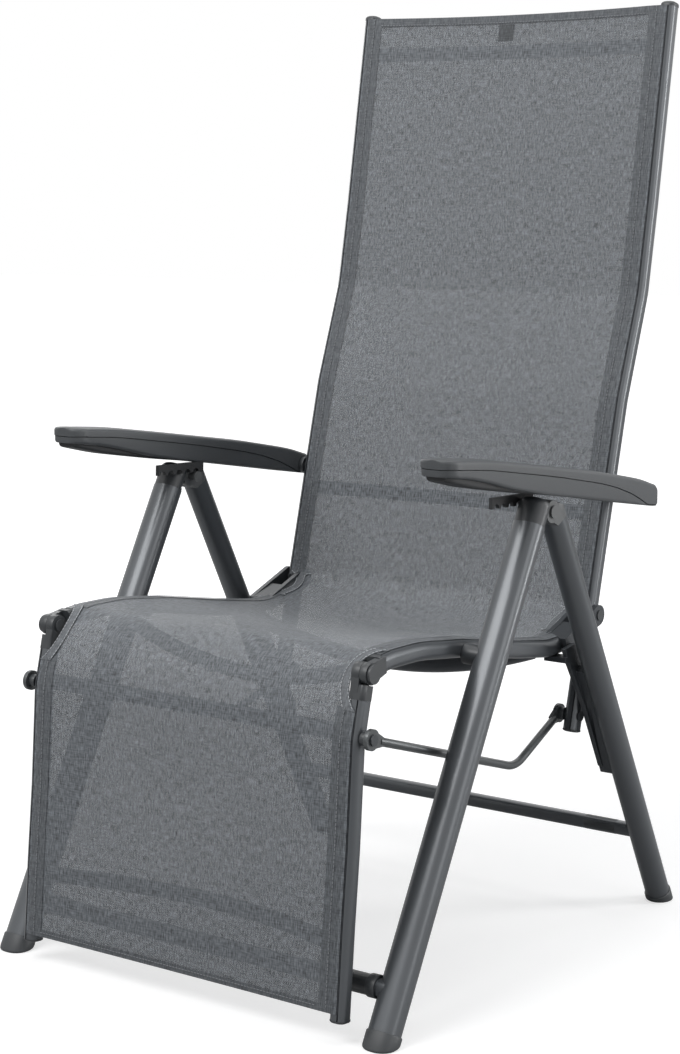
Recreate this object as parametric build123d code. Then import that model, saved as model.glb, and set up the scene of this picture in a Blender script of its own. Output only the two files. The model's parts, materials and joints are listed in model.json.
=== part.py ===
"""Reclining garden armchair with a linked footrest, as separate parts.

Millimetres, +Z up, the chair faces -Y. Side plane points are (y, z) pairs, taken from the
point on the floor under the front feet; the last lines move everything to the middle of the depth.
Each side part is drawn once for the left side (+X, the sitter's left) and mirrored.

The hardest pieces are the armrests with their rack over the lock bolt, and the linkage of
bent rods that drives the footrest: both have to stay clear of their neighbours all the way
through the recline, so their shapes are laid out from the pivots.
"""
from build123d import *
from math import atan2, degrees, sqrt
import os

# Fits and clearances
RUNNING = 0.05
SNUG = 0.02
GAP = 0.3
SIDE_PLAY = 0.4
OVERCUT = 5.0
SPACE = 4000.0

# Pivots in the side plane
BACK_PIVOT = (516.0, 398.0)
LEG_PIVOT = (326.0, 556.0)
SEAT_PIVOT = (218.0, 399.0)
FOOTREST_PIVOT = (31.0, 408.0)
ARM_PIVOT = (556.0, 548.0)
ROD_REAR = (482.0, 274.0)
ROD_FRONT = (13.0, 340.0)

# Front legs: flattened oval tube
FRONT_LEG_X = 275.0
FRONT_LEG_SLOPE = 0.55
FRONT_LEG_WIDTH = 39.0
FRONT_LEG_DEPTH = 31.0
FRONT_HEAD_DROP = 25.78
LEG_WALL = 1.8
HEAD_PLATE = 3.0
HEAD_LENGTH = 33.0
HEAD_ROUND = 9.0
HEAD_SHOULDER = 4.0
TONGUE_THICK = 14.0
TONGUE_RADIUS = 12.0

# Rear legs: round tube
REAR_LEG_DIAMETER = 31.5
REAR_LEG_SLOPE = -0.53
REAR_FOOT_Y = 642.0
REAR_HEAD_DROP = 22.0
EYE_RADIUS = 13.5
CHEEK_GAP = 0.5
HEAD_WIDTH = 31.0

# Pivot bolt in the leg heads: its inner end is what the armrest rack locks on
BOLT_RADIUS = 5.0
BOLT_INNER_X = 246.0
BOLT_OUTER_X = 291.5
BOLT_HEAD_RADIUS = 7.5
BOLT_HEAD_THICK = 1.8

# Floor caps
FOOT_SLEEVE = 1.6
FOOT_HEIGHT = 16.0
FOOT_BELOW = 40.0
FOOT_TUBE_START = 12.0

# Low crossbars of the legs
FRONT_BAR = (27.0, 57.0)
FRONT_BAR_RADIUS = 10.0
REAR_BAR = (585.0, 106.0)
REAR_BAR_RADIUS = 7.5
SLEEVE_LENGTH = 46.0
SLEEVE_WALL = 2.0
SLEEVE_STEP = 12.0
SLEEVE_STEP_WALL = 3.6
REAR_SLEEVE_INSET = 34.0

# Saddle struts on the rear legs
STRUT_CLEAR = 0.8
STRUT_OUTER_X = 254.5
STRUT_TOP_FRONT = (421.0, 371.0)
STRUT_NOSE = (431.0, 352.0)
STRUT_NECK = (471.0, 291.0)
STRUT_LOW_FRONT = (517.0, 204.0)
STRUT_LOW_END = (541.0, 190.0)
STRUT_LOW_REAR = (538.0, 212.0)
STRUT_REAR = (462.0, 357.0)
STRUT_TOP_REAR = (447.0, 374.5)
LUG_INNER_X = 223.0
LUG_THICK = 7.0
LUG_START_SHARE = 0.34
LUG_END_SHARE = 0.96
STRUT_FOOT_FRONT = 13.0
STRUT_FOOT_TOP = 345.0
STRUT_FOOT_BOTTOM = 200.0

# Rails of seat, back and footrest: same profile, groove for the fabric edge
RAIL_X = 231.0
RAIL_WIDTH = 20.0
RAIL_DEPTH = 21.0
RAIL_CORNER = 5.0
GROOVE_RADIUS = 2.8
GROOVE_MOUTH = 3.8
GROOVE_OFFSET = 6.0
RAIL_BEND = 28.0
BACK_BEND = 120.0
SHIN_BEND = 60.0
SEAT_RAIL = ((440.0, 371.5), (413.0, 370.5), (339.0, 382.0), (219.0, 404.0),
             (134.0, 415.0), (77.0, 415.7), (58.0, 414.0))
BACK_RAIL = ((699.0, 1157.0), (656.0, 908.0), (634.0, 795.0), (586.0, 663.0), (480.0, 256.0))
FOOTREST_RAIL = ((23.6, 379.0), (12.8, 336.0), (3.6, 215.0), (-5.7, 127.0), (-14.8, 27.0))

# Crossbars between the rails
BAR_RADIUS = 7.5
BAR_BEHIND = 4.0
SEAT_FRONT_BAR = (133.0, 415.0)
SEAT_REAR_BAR = (399.0, 370.0)
BACK_UPPER_BAR = (690.9, 1110.0)
BACK_LOWER_BAR = (548.7, 520.0)
SHIN_UPPER_BAR = (15.5, 342.0)
SHIN_LOWER_BAR = (-7.6, 107.0)
SEAT_FRONT_BOW = 54.0
SEAT_REAR_BOW = 40.0
BACK_UPPER_BOW = 42.0
BACK_LOWER_BOW = 13.0
SHIN_LOWER_BOW = 40.0

# Fabric
CLOTH = 1.2
CLOTH_HALF = 220.3
CLOTH_TUCK = 222.8
CLOTH_LAP = 2.0
CLOTH_FACETS = 6
SEAT_SAG = 14.0
BACK_SAG = 14.0
SHIN_SAG = 2.0
BACK_CLOTH_TOP = (692.6, 1156.0)
BACK_CLOTH_HELD = ((652.3, 922.0), (645.9, 885.0), (629.8, 806.0), (624.8, 789.0), (583.2, 676.0),
                   (577.2, 653.0), (521.6, 440.0))
BACK_CLOTH_END = ((515.0, 414.6),)
SEAT_CLOTH_REAR = ((506.0, 401.0), (497.0, 394.0), (478.0, 389.0), (452.0, 385.0), (428.0, 381.5),
                   (404.0, 379.8), (380.0, 381.9))
SEAT_CLOTH_HELD = ((350.0, 386.5), (328.0, 390.1), (219.0, 410.2), (134.0, 421.3), (76.0, 421.9))
SEAT_CLOTH_KNEE = ((58.0, 420.0), (46.0, 416.0), (37.0, 410.5))
SHIN_CLOTH_KNEE = ((32.0, 404.5), (24.0, 391.0), (17.0, 376.0))
SHIN_CLOTH_HELD = ((7.2, 340.0), (5.4, 322.0), (-2.4, 215.6), (-11.7, 127.6), (-20.3, 31.0))
REAR_CUT_RADIUS = 77.7
REAR_CUT_X = 273.7
REAR_CUT_Y = 490.0
FRONT_CUT_RADIUS = 107.7
FRONT_CUT_X = 303.7
SEAT_CUT_Y = 58.0
SHIN_CUT_Z = 435.0
TAG_WIDTH = 22.0
TAG_HEIGHT = 19.0
TAG_THICK = 0.6
TAG_X = -15.0
TAG_Z = 1134.5

# Front hinge of the footrest
BARREL_RADIUS = 12.5
HINGE_PIN_RADIUS = 4.5
HINGE_SPLIT_X = 232.0
HINGE_INNER_X = 221.5
HINGE_CAP_RADIUS = 11.0
HINGE_CAP_THICK = 4.0
HINGE_DISC_RADIUS = 7.5
HINGE_DISC_THICK = 2.0
COLLAR_LENGTH = 18.0
CONNECTOR_DEPTH = 19.0

# Rear brackets of the seat: a fork with the back rail between its arms
FORK_ARM = 6.0
FORK_CLEAR = 0.5
FORK_EYE = 13.0
FORK_FRONT = (436.0, 372.5)
FORK_BLOCK_END = (476.0, 385.2)
FORK_HALF_NECK = 9.0
BACK_PIN_RADIUS = 5.0
BACK_PIN_HEAD = 6.5
BACK_PIN_HEAD_THICK = 1.5

# Seat pivot blocks on the front legs
BLOCK_RADIUS = 12.0
BLOCK_OUTER_X = 266.0

# Link rods
ROD_RADIUS = 5.0
ROD_FRONT_X = 252.5
ROD_BEND_X = 225.0
ROD_REAR_X = 211.0
ROD_BEND = (355.0, 233.0)
ROD_BEND_RADIUS = 70.0
ROD_EYE_RADIUS = 12.0
ROD_EYE_THICK = 5.0
ROD_STUB = 16.0
BUSH_RADIUS = 8.0
ROD_PIN_RADIUS = 4.0
ROD_PIN_HEAD = 6.5
ROD_PIN_HEAD_THICK = 2.5

# End caps and plugs of the rails
CAP_LENGTH = 6.0
PLUG_LENGTH = 4.0
CAP_ROUND = 2.4

# Armrests
ARM_X = 273.0
ARM_WIDTH = 50.0
ARM_TOP = ((107.0, 638.0), (179.0, 631.0), (272.0, 617.0), (429.0, 592.5), (531.0, 573.0),
           (560.0, 564.0))
ARM_END = (576.0, 552.0)
ARM_LOW = ((569.0, 534.0), (434.0, 557.0), (351.0, 571.0), (243.0, 586.5), (162.0, 600.0),
           (111.0, 612.0))
ARM_NOSE = (99.0, 627.0)
ARM_PARTING = 11.0
ARM_PARTING_GAP = 0.4
ARM_WALL = 3.0
ARM_TIP_ROUND = 17.0
ARM_REAR_ROUND = 10.0
ARM_PIN_RADIUS = 6.0
ARM_PIN_REACH = 286.0
ARM_FLANGE_RADIUS = 11.5
ARM_SHANK_INNER_X = 226.0

# Rack under the inner half of the armrest
RACK_INSET = 1.6
RACK_THICK = 5.0
RACK_FAR = 345.0
RACK_NEAR = 214.0
RACK_CLEAR = 0.5
RACK_HEIGHT = 17.0
RACK_POSITIONS = (231.0, 248.0, 265.0, 281.5, 296.5)
RACK_SEAT = 5.6

os.makedirs("parts", exist_ok=True)


def at(x, point):
    """Return the space point over a side plane point."""
    return Vector(x, point[0], point[1])


def unit(start, end):
    """Return the unit direction in the side plane from start to end."""
    length = sqrt((end[0] - start[0]) ** 2 + (end[1] - start[1]) ** 2)
    return ((end[0] - start[0]) / length, (end[1] - start[1]) / length)


def moved(point, direction, distance):
    """Return a side plane point moved along a direction."""
    return (point[0] + direction[0] * distance, point[1] + direction[1] * distance)


def turned(direction):
    """Return a side plane direction turned a quarter to the left."""
    return (-direction[1], direction[0])


def along_plane(x, point, direction):
    """Return the plane across a side plane direction, its x axis along world X."""
    return Plane(origin=at(x, point), x_dir=(1, 0, 0), z_dir=(0, direction[0], direction[1]))


def pin(point, x_start, x_end, radius):
    """Return a cylinder along X through a side plane point."""
    plane = Plane(origin=at(x_start, point), z_dir=(1, 0, 0))
    return extrude(plane * Circle(radius), amount=x_end - x_start)


def plate(points, x_start, x_end):
    """Return a plate with a straight sided outline in the side plane."""
    corners = [at(x_start, point) for point in points]
    face = make_face(Polyline(*corners, close=True))
    return extrude(face, amount=x_end - x_start, dir=(1, 0, 0))


def side_path(points, x, bend):
    """Return a path in the side plane with rounded bends."""
    return FilletPolyline(*[at(x, point) for point in points], radius=bend)


def rail_section(groove_side):
    """Return the rail profile; its groove opens towards the sitter's middle."""
    outline = RectangleRounded(RAIL_WIDTH, RAIL_DEPTH, RAIL_CORNER)
    centre = groove_side * (RAIL_WIDTH / 2 - GROOVE_RADIUS - GAP)
    mouth = groove_side * RAIL_WIDTH / 2
    outline -= Pos(centre, GROOVE_OFFSET) * Circle(GROOVE_RADIUS)
    outline -= Pos(mouth, GROOVE_OFFSET) * Rectangle(GROOVE_RADIUS * 2, GROOVE_MOUTH)
    return outline


def rail(points, bend):
    """Return one left rail along its path."""
    path = side_path(points, RAIL_X, bend)
    start = unit(points[0], points[1])
    return sweep(along_plane(RAIL_X, points[0], start) * rail_section(-1), path=path)


def bowed_bar(point, bow, radius):
    """Return a crossbar between the rails, bowed by a side plane vector."""
    half = RAIL_X - RAIL_WIDTH / 2
    middle = (point[0] + bow[0], point[1] + bow[1])
    path = ThreePointArc(at(-half - CLOTH, point), at(0, middle), at(half + CLOTH, point))
    bar = sweep(Plane(origin=path @ 0, z_dir=path % 0) * Circle(radius), path=path)
    return bar & Box(2 * half, SPACE, SPACE)


def straight_bar(point, half, radius):
    """Return a straight crossbar from side to side."""
    return pin(point, -half, half, radius)


def cloth_section(half, sag):
    """Return the thin cross section of a panel that sags between its edges."""
    upper = []
    lower = []
    for step in range(CLOTH_FACETS + 1):
        share = 2 * step / CLOTH_FACETS - 1
        drop = sag * (1 - share * share)
        upper.append((half * share, CLOTH / 2 - drop))
        lower.append((half * share, -CLOTH / 2 - drop))
    return make_face(Polyline(*upper, *reversed(lower), close=True))


def folded_sweep(section, points, x):
    """Sweep a section along straight stretches that meet at mitred corners."""
    path = Polyline(*[at(x, point) for point in points])
    plane = along_plane(x, points[0], unit(points[0], points[1]))
    return sweep(plane * section, path=path, transition=Transition.RIGHT)


def cloth(before, held, after, sag):
    """Return a fabric panel whose edges are tucked in the grooves along the held stretch."""
    sheet = folded_sweep(cloth_section(CLOTH_HALF, sag), before + held + after, 0)
    for side in (-1, 1):
        middle = side * (CLOTH_TUCK + CLOTH_HALF - CLOTH_LAP) / 2
        strip = Rectangle(CLOTH_TUCK - CLOTH_HALF + CLOTH_LAP, CLOTH)
        sheet += folded_sweep(strip, held, middle)
    return sheet


def on_floor(shape):
    """Cut away what lies below the floor."""
    return shape & Pos(0, 0, SPACE / 2) * Box(SPACE, SPACE, SPACE)


# Directions of the legs, pointing up along each tube
front_up = unit((0, 0), (FRONT_LEG_SLOPE, 1))
rear_up = unit((0, 0), (REAR_LEG_SLOPE, 1))
front_back = (front_up[1], -front_up[0])
rear_back = (rear_up[1], -rear_up[0])
front_foot = (0.0, 0.0)
rear_foot = (REAR_FOOT_Y, 0.0)


def leg_coordinates(point, foot, up, back):
    """Return how far along and how far behind a leg axis a point lies."""
    offset = (point[0] - foot[0], point[1] - foot[1])
    return (offset[0] * up[0] + offset[1] * up[1], offset[0] * back[0] + offset[1] * back[1])


def leg_place(foot, up, back, along, behind):
    """Return the side plane point at a place given along and behind a leg axis."""
    return moved(moved(foot, up, along), back, behind)


front_pivot = leg_coordinates(LEG_PIVOT, front_foot, front_up, front_back)
rear_pivot = leg_coordinates(LEG_PIVOT, rear_foot, rear_up, rear_back)

nodes = {}
mirrored = {}


# Front legs
oval = Ellipse(FRONT_LEG_WIDTH / 2, FRONT_LEG_DEPTH / 2)
front_plane = along_plane(FRONT_LEG_X, front_foot, front_up)
front_top = front_pivot[0] - FRONT_HEAD_DROP
front_solid = extrude(front_plane * oval, amount=front_top)
front_solid -= extrude(front_plane * Ellipse(FRONT_LEG_WIDTH, FRONT_LEG_DEPTH), amount=FOOT_TUBE_START)
front_bore = Ellipse(FRONT_LEG_WIDTH / 2 - LEG_WALL, FRONT_LEG_DEPTH / 2 - LEG_WALL)
foot_outline = Ellipse(FRONT_LEG_WIDTH / 2 + FOOT_SLEEVE, FRONT_LEG_DEPTH / 2 + FOOT_SLEEVE)
foot_block = extrude(front_plane * foot_outline, amount=FOOT_HEIGHT)
foot_block += extrude(front_plane * foot_outline, amount=-FOOT_BELOW)
front_cap = on_floor(foot_block) - front_solid
mirrored["front_leg"] = front_solid - extrude(front_plane * front_bore, amount=front_top)
mirrored["front_foot"] = front_cap

# Front leg heads with the tongue that carries the pivot bolt
head_plane = along_plane(FRONT_LEG_X, leg_place(front_foot, front_up, front_back, front_top, 0),
                         front_up)
head = extrude(head_plane * oval, amount=HEAD_LENGTH)
head = fillet(head.edges().sort_by(Axis.Z)[-1], HEAD_ROUND)
shoulder_low = front_top + HEAD_PLATE
shoulder = [
    leg_place(front_foot, front_up, front_back, shoulder_low, HEAD_SHOULDER),
    leg_place(front_foot, front_up, front_back, shoulder_low, FRONT_LEG_DEPTH),
    leg_place(front_foot, front_up, front_back, shoulder_low + 2 * HEAD_LENGTH, FRONT_LEG_DEPTH),
    leg_place(front_foot, front_up, front_back, shoulder_low + 2 * HEAD_LENGTH, HEAD_SHOULDER),
]
for side in (-1, 1):
    near = FRONT_LEG_X + side * TONGUE_THICK / 2
    head -= plate(shoulder, near, FRONT_LEG_X + side * FRONT_LEG_WIDTH)
tongue = [
    leg_place(front_foot, front_up, front_back, front_pivot[0] - TONGUE_RADIUS, HEAD_SHOULDER - OVERCUT),
    leg_place(front_foot, front_up, front_back, front_pivot[0] - TONGUE_RADIUS, front_pivot[1]),
    leg_place(front_foot, front_up, front_back, front_pivot[0] + TONGUE_RADIUS, front_pivot[1]),
    leg_place(front_foot, front_up, front_back, shoulder_low + HEAD_LENGTH - HEAD_ROUND,
              HEAD_SHOULDER - OVERCUT),
]
tongue_start = FRONT_LEG_X - TONGUE_THICK / 2
tongue_end = FRONT_LEG_X + TONGUE_THICK / 2
head += plate(tongue, tongue_start, tongue_end)
head += pin(LEG_PIVOT, tongue_start, tongue_end, TONGUE_RADIUS)
head -= pin(LEG_PIVOT, tongue_start - OVERCUT, tongue_end + OVERCUT, BOLT_RADIUS + SNUG)
mirrored["leg_head"] = head

bolt = pin(LEG_PIVOT, BOLT_INNER_X, BOLT_OUTER_X, BOLT_RADIUS)
bolt += pin(LEG_PIVOT, BOLT_OUTER_X, BOLT_OUTER_X + BOLT_HEAD_THICK, BOLT_HEAD_RADIUS)
bolt += pin(LEG_PIVOT, BOLT_INNER_X, BOLT_INNER_X + BOLT_HEAD_THICK, BOLT_RADIUS + BOLT_HEAD_THICK)
mirrored["pivot_bolt"] = bolt

# Front crossbar with a stepped sleeve at each end
front_bar_half = FRONT_LEG_X + FRONT_LEG_WIDTH / 2 - OVERCUT
both_tubes = front_solid + mirror(front_solid, about=Plane.YZ)
front_bar = straight_bar(FRONT_BAR, front_bar_half, FRONT_BAR_RADIUS) - both_tubes
front_bar = front_bar & Box(2 * FRONT_LEG_X, SPACE, SPACE)
nodes["front_crossbar"] = front_bar
sleeve_end = FRONT_LEG_X - FRONT_LEG_WIDTH / 2 - GAP
sleeve = pin(FRONT_BAR, sleeve_end - SLEEVE_LENGTH, sleeve_end - SLEEVE_STEP, FRONT_BAR_RADIUS + SLEEVE_WALL)
sleeve += pin(FRONT_BAR, sleeve_end - SLEEVE_STEP, sleeve_end, FRONT_BAR_RADIUS + SLEEVE_STEP_WALL)
sleeve -= pin(FRONT_BAR, sleeve_end - SLEEVE_LENGTH - OVERCUT, sleeve_end + OVERCUT, FRONT_BAR_RADIUS + SNUG)
nodes["front_sleeves"] = Compound([sleeve, mirror(sleeve, about=Plane.YZ)])

# Rear legs
rear_plane = along_plane(FRONT_LEG_X, rear_foot, rear_up)
rear_top = rear_pivot[0] - REAR_HEAD_DROP
rear_solid = extrude(rear_plane * Circle(REAR_LEG_DIAMETER / 2), amount=rear_top)
rear_solid -= extrude(rear_plane * Circle(REAR_LEG_DIAMETER), amount=FOOT_TUBE_START)
rear_bore = Circle(REAR_LEG_DIAMETER / 2 - LEG_WALL)
rear_outline = Circle(REAR_LEG_DIAMETER / 2 + FOOT_SLEEVE)
rear_block = extrude(rear_plane * rear_outline, amount=FOOT_HEIGHT)
rear_block += extrude(rear_plane * rear_outline, amount=-FOOT_BELOW)
mirrored["rear_leg"] = rear_solid - extrude(rear_plane * rear_bore, amount=rear_top)
mirrored["rear_foot"] = on_floor(rear_block) - rear_solid


def rear_place(along, behind):
    """Return the side plane point at a place measured from the leg pivot along the rear leg."""
    return moved(moved(LEG_PIVOT, rear_up, along), rear_back, behind)


# Rear leg heads: two cheeks with a slot for the tongue between them
axis_behind = -rear_pivot[1]
head_start = rear_place(-REAR_HEAD_DROP, axis_behind)
rear_head = extrude(along_plane(FRONT_LEG_X, head_start, rear_up) * Circle(REAR_LEG_DIAMETER / 2),
                    amount=REAR_HEAD_DROP + EYE_RADIUS)
slope_cut = [
    rear_place(EYE_RADIUS, -EYE_RADIUS),
    rear_place(EYE_RADIUS, 0),
    rear_place(-EYE_RADIUS, axis_behind + REAR_LEG_DIAMETER / 2),
    rear_place(-EYE_RADIUS, axis_behind + REAR_LEG_DIAMETER),
    rear_place(3 * EYE_RADIUS, axis_behind + REAR_LEG_DIAMETER),
    rear_place(3 * EYE_RADIUS, -EYE_RADIUS),
]
cut_start = FRONT_LEG_X - REAR_LEG_DIAMETER
cut_end = FRONT_LEG_X + REAR_LEG_DIAMETER
rear_head -= plate(slope_cut, cut_start, cut_end)
cheek_start = FRONT_LEG_X - HEAD_WIDTH / 2
cheek_end = FRONT_LEG_X + HEAD_WIDTH / 2
rear_head += pin(LEG_PIVOT, cheek_start, cheek_end, EYE_RADIUS)
chin = [
    rear_place(0, -EYE_RADIUS),
    rear_place(0, axis_behind),
    rear_place(-REAR_HEAD_DROP, axis_behind),
    rear_place(-REAR_HEAD_DROP, axis_behind - REAR_LEG_DIAMETER / 2),
]
rear_head += plate(chin, cheek_start, cheek_end)
slot_start = tongue_start - CHEEK_GAP
slot_end = tongue_end + CHEEK_GAP
rear_head -= pin(LEG_PIVOT, slot_start, slot_end, TONGUE_RADIUS + CHEEK_GAP)
slot = [
    rear_place(2 * EYE_RADIUS, -2 * EYE_RADIUS),
    rear_place(2 * EYE_RADIUS, CHEEK_GAP),
    rear_place(-REAR_HEAD_DROP + SNUG, CHEEK_GAP),
    rear_place(-REAR_HEAD_DROP + SNUG, -2 * EYE_RADIUS),
]
rear_head -= plate(slot, slot_start, slot_end)
rear_head -= pin(LEG_PIVOT, cheek_start - OVERCUT, cheek_end + OVERCUT, BOLT_RADIUS + RUNNING)
mirrored["rear_head"] = rear_head

# Rear crossbar with a sleeve near its left end
both_rear = rear_solid + mirror(rear_solid, about=Plane.YZ)
rear_bar = (straight_bar(REAR_BAR, FRONT_LEG_X, REAR_BAR_RADIUS) - both_rear)
rear_bar = rear_bar.solids().sort_by(SortBy.VOLUME)[-1]
nodes["rear_crossbar"] = rear_bar
rear_sleeve_end = FRONT_LEG_X - REAR_SLEEVE_INSET
rear_sleeve = pin(REAR_BAR, rear_sleeve_end - SLEEVE_LENGTH, rear_sleeve_end, REAR_BAR_RADIUS + SLEEVE_WALL)
rear_sleeve -= pin(REAR_BAR, rear_sleeve_end - SLEEVE_LENGTH - OVERCUT, rear_sleeve_end + OVERCUT,
                   REAR_BAR_RADIUS + SNUG)
nodes["rear_sleeve"] = rear_sleeve

# Saddle struts: a plate on the inner side of the rear leg with a lug under the seat rail
strut_inner = RAIL_X + RAIL_WIDTH / 2 + FORK_CLEAR + FORK_ARM + STRUT_CLEAR
strut = plate([STRUT_TOP_FRONT, STRUT_NOSE, STRUT_NECK, STRUT_LOW_FRONT, STRUT_LOW_END, STRUT_LOW_REAR,
               STRUT_REAR, STRUT_TOP_REAR], strut_inner, STRUT_OUTER_X)
rear_scale = sqrt(1 + REAR_LEG_SLOPE * REAR_LEG_SLOPE)
weld_low = STRUT_FOOT_BOTTOM * rear_scale
weld_high = STRUT_FOOT_TOP * rear_scale
weld = [
    leg_place(rear_foot, rear_up, rear_back, weld_low, -STRUT_FOOT_FRONT),
    leg_place(rear_foot, rear_up, rear_back, weld_low, 0),
    leg_place(rear_foot, rear_up, rear_back, weld_high, 0),
    leg_place(rear_foot, rear_up, rear_back, weld_high, -STRUT_FOOT_FRONT),
]
strut += plate(weld, strut_inner, FRONT_LEG_X)
strut -= rear_solid
strut = strut.solids().sort_by(SortBy.VOLUME)[-1]
saddle_dir = unit(SEAT_RAIL[1], SEAT_RAIL[0])
saddle_down = (saddle_dir[1], -saddle_dir[0])
saddle_run = sqrt((SEAT_RAIL[0][0] - SEAT_RAIL[1][0]) ** 2 + (SEAT_RAIL[0][1] - SEAT_RAIL[1][1]) ** 2)
under = moved(SEAT_RAIL[1], saddle_down, RAIL_DEPTH / 2 + GAP)
lug_start = moved(under, saddle_dir, saddle_run * LUG_START_SHARE)
lug_end = moved(under, saddle_dir, saddle_run * LUG_END_SHARE)
lug = plate([lug_start, lug_end, moved(lug_end, saddle_down, LUG_THICK),
             moved(lug_start, saddle_down, LUG_THICK)], LUG_INNER_X, STRUT_OUTER_X)
mirrored["saddle_strut"] = strut + lug

# Seat frame
rail_outer = RAIL_X + RAIL_WIDTH / 2
rail_inner = RAIL_X - RAIL_WIDTH / 2
seat_rail = rail(SEAT_RAIL, RAIL_BEND)
mirrored["seat_rail"] = seat_rail
nodes["seat_front_bar"] = bowed_bar((SEAT_FRONT_BAR[0], SEAT_FRONT_BAR[1] - BAR_BEHIND),
                                    (0, -SEAT_FRONT_BOW), BAR_RADIUS)
nodes["seat_rear_bar"] = bowed_bar((SEAT_REAR_BAR[0], SEAT_REAR_BAR[1] - BAR_BEHIND),
                                   (0, -SEAT_REAR_BOW), BAR_RADIUS)
mirrored["seat_pivot"] = pin(SEAT_PIVOT, rail_outer, BLOCK_OUTER_X, BLOCK_RADIUS) - front_solid

# Front hinge: the seat's connector has the outer half of the barrel
seat_front = SEAT_RAIL[-1]
seat_dir = unit(SEAT_RAIL[-2], SEAT_RAIL[-1])
collar_from = moved(seat_front, seat_dir, 0)
hinge_dir = unit(seat_front, FOOTREST_PIVOT)
neck_plane = along_plane(RAIL_X, collar_from, seat_dir)
seat_neck = extrude(neck_plane * RectangleRounded(RAIL_WIDTH, RAIL_DEPTH - CLOTH, RAIL_CORNER),
                    amount=COLLAR_LENGTH / 2)
outer_neck = [
    moved(collar_from, turned(seat_dir), -CONNECTOR_DEPTH / 2),
    moved(collar_from, turned(seat_dir), CONNECTOR_DEPTH / 2),
    moved(FOOTREST_PIVOT, turned(hinge_dir), BARREL_RADIUS - CLOTH),
    moved(FOOTREST_PIVOT, turned(hinge_dir), -BARREL_RADIUS + CLOTH),
]
split_gap = SIDE_PLAY / 2
seat_hinge = plate(outer_neck, HINGE_SPLIT_X + split_gap, rail_outer)
seat_hinge += pin(FOOTREST_PIVOT, HINGE_SPLIT_X + split_gap, rail_outer, BARREL_RADIUS)
seat_hinge += seat_neck - pin(FOOTREST_PIVOT, rail_inner - OVERCUT, HINGE_SPLIT_X + split_gap,
                              BARREL_RADIUS + SIDE_PLAY)
seat_hinge -= pin(FOOTREST_PIVOT, rail_inner, rail_outer + OVERCUT, HINGE_PIN_RADIUS + SNUG)
mirrored["seat_hinge"] = seat_hinge

hinge_pin = pin(FOOTREST_PIVOT, HINGE_INNER_X - HINGE_DISC_THICK, rail_outer + HINGE_CAP_THICK,
                HINGE_PIN_RADIUS)
hinge_pin += pin(FOOTREST_PIVOT, rail_outer + SNUG, rail_outer + HINGE_CAP_THICK, HINGE_CAP_RADIUS)
hinge_pin += pin(FOOTREST_PIVOT, HINGE_INNER_X - HINGE_DISC_THICK - GAP, HINGE_INNER_X - GAP,
                 HINGE_DISC_RADIUS)
nodes["hinge_pins"] = Compound([hinge_pin, mirror(hinge_pin, about=Plane.YZ)])

# Rear brackets
fork_inner = rail_inner - FORK_CLEAR
fork_outer = rail_outer + FORK_CLEAR
fork_dir = unit(FORK_FRONT, BACK_PIVOT)
fork_side = turned(fork_dir)
arm_outline = [
    moved(FORK_FRONT, fork_side, -FORK_HALF_NECK),
    moved(FORK_FRONT, fork_side, FORK_HALF_NECK),
    moved(BACK_PIVOT, fork_side, FORK_EYE),
    moved(BACK_PIVOT, fork_side, -FORK_EYE),
]
bracket = plate(arm_outline, fork_inner - FORK_ARM, fork_inner)
bracket += plate(arm_outline, fork_outer, fork_outer + FORK_ARM)
bracket += pin(BACK_PIVOT, fork_inner - FORK_ARM, fork_inner, FORK_EYE)
bracket += pin(BACK_PIVOT, fork_outer, fork_outer + FORK_ARM, FORK_EYE)
block_outline = [
    moved(FORK_FRONT, fork_side, -FORK_HALF_NECK),
    moved(FORK_FRONT, fork_side, FORK_HALF_NECK),
    moved(FORK_BLOCK_END, fork_side, FORK_HALF_NECK),
    moved(FORK_BLOCK_END, fork_side, -FORK_HALF_NECK),
]
bracket += plate(block_outline, fork_inner - FORK_ARM, fork_outer + FORK_ARM)
bracket -= seat_rail
bracket = bracket.solids().sort_by(SortBy.VOLUME)[-1]
bracket -= pin(BACK_PIVOT, fork_inner - FORK_ARM - OVERCUT, fork_outer + FORK_ARM + OVERCUT,
               BACK_PIN_RADIUS + SNUG)
mirrored["rear_bracket"] = bracket
back_pin = pin(BACK_PIVOT, fork_inner - FORK_ARM - BACK_PIN_HEAD_THICK, fork_outer + FORK_ARM, BACK_PIN_RADIUS)
back_pin += pin(BACK_PIVOT, fork_outer + FORK_ARM + SNUG, fork_outer + FORK_ARM + BACK_PIN_HEAD_THICK,
                BACK_PIN_HEAD)
back_pin += pin(BACK_PIVOT, fork_outer, fork_outer + FORK_ARM + BACK_PIN_HEAD_THICK, BACK_PIN_RADIUS)
nodes["back_pins"] = Compound([back_pin, mirror(back_pin, about=Plane.YZ)])

# Back frame
back_rail = rail(BACK_RAIL, BACK_BEND)
back_rail -= pin(BACK_PIVOT, rail_inner - OVERCUT, rail_outer + OVERCUT, BACK_PIN_RADIUS + RUNNING)
back_rail -= pin(ARM_PIVOT, ARM_SHANK_INNER_X - SIDE_PLAY, rail_outer + OVERCUT, ARM_PIN_RADIUS + RUNNING)
back_rail -= pin(ROD_REAR, rail_inner - OVERCUT, rail_outer + OVERCUT, ROD_PIN_RADIUS + RUNNING)
mirrored["back_rail"] = back_rail
nodes["back_upper_bar"] = bowed_bar((BACK_UPPER_BAR[0] + BAR_BEHIND, BACK_UPPER_BAR[1]),
                                    (BACK_UPPER_BOW, 0), BAR_RADIUS)
nodes["back_lower_bar"] = bowed_bar((BACK_LOWER_BAR[0] + BAR_BEHIND, BACK_LOWER_BAR[1]),
                                    (BACK_LOWER_BOW, 0), BAR_RADIUS)


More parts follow.
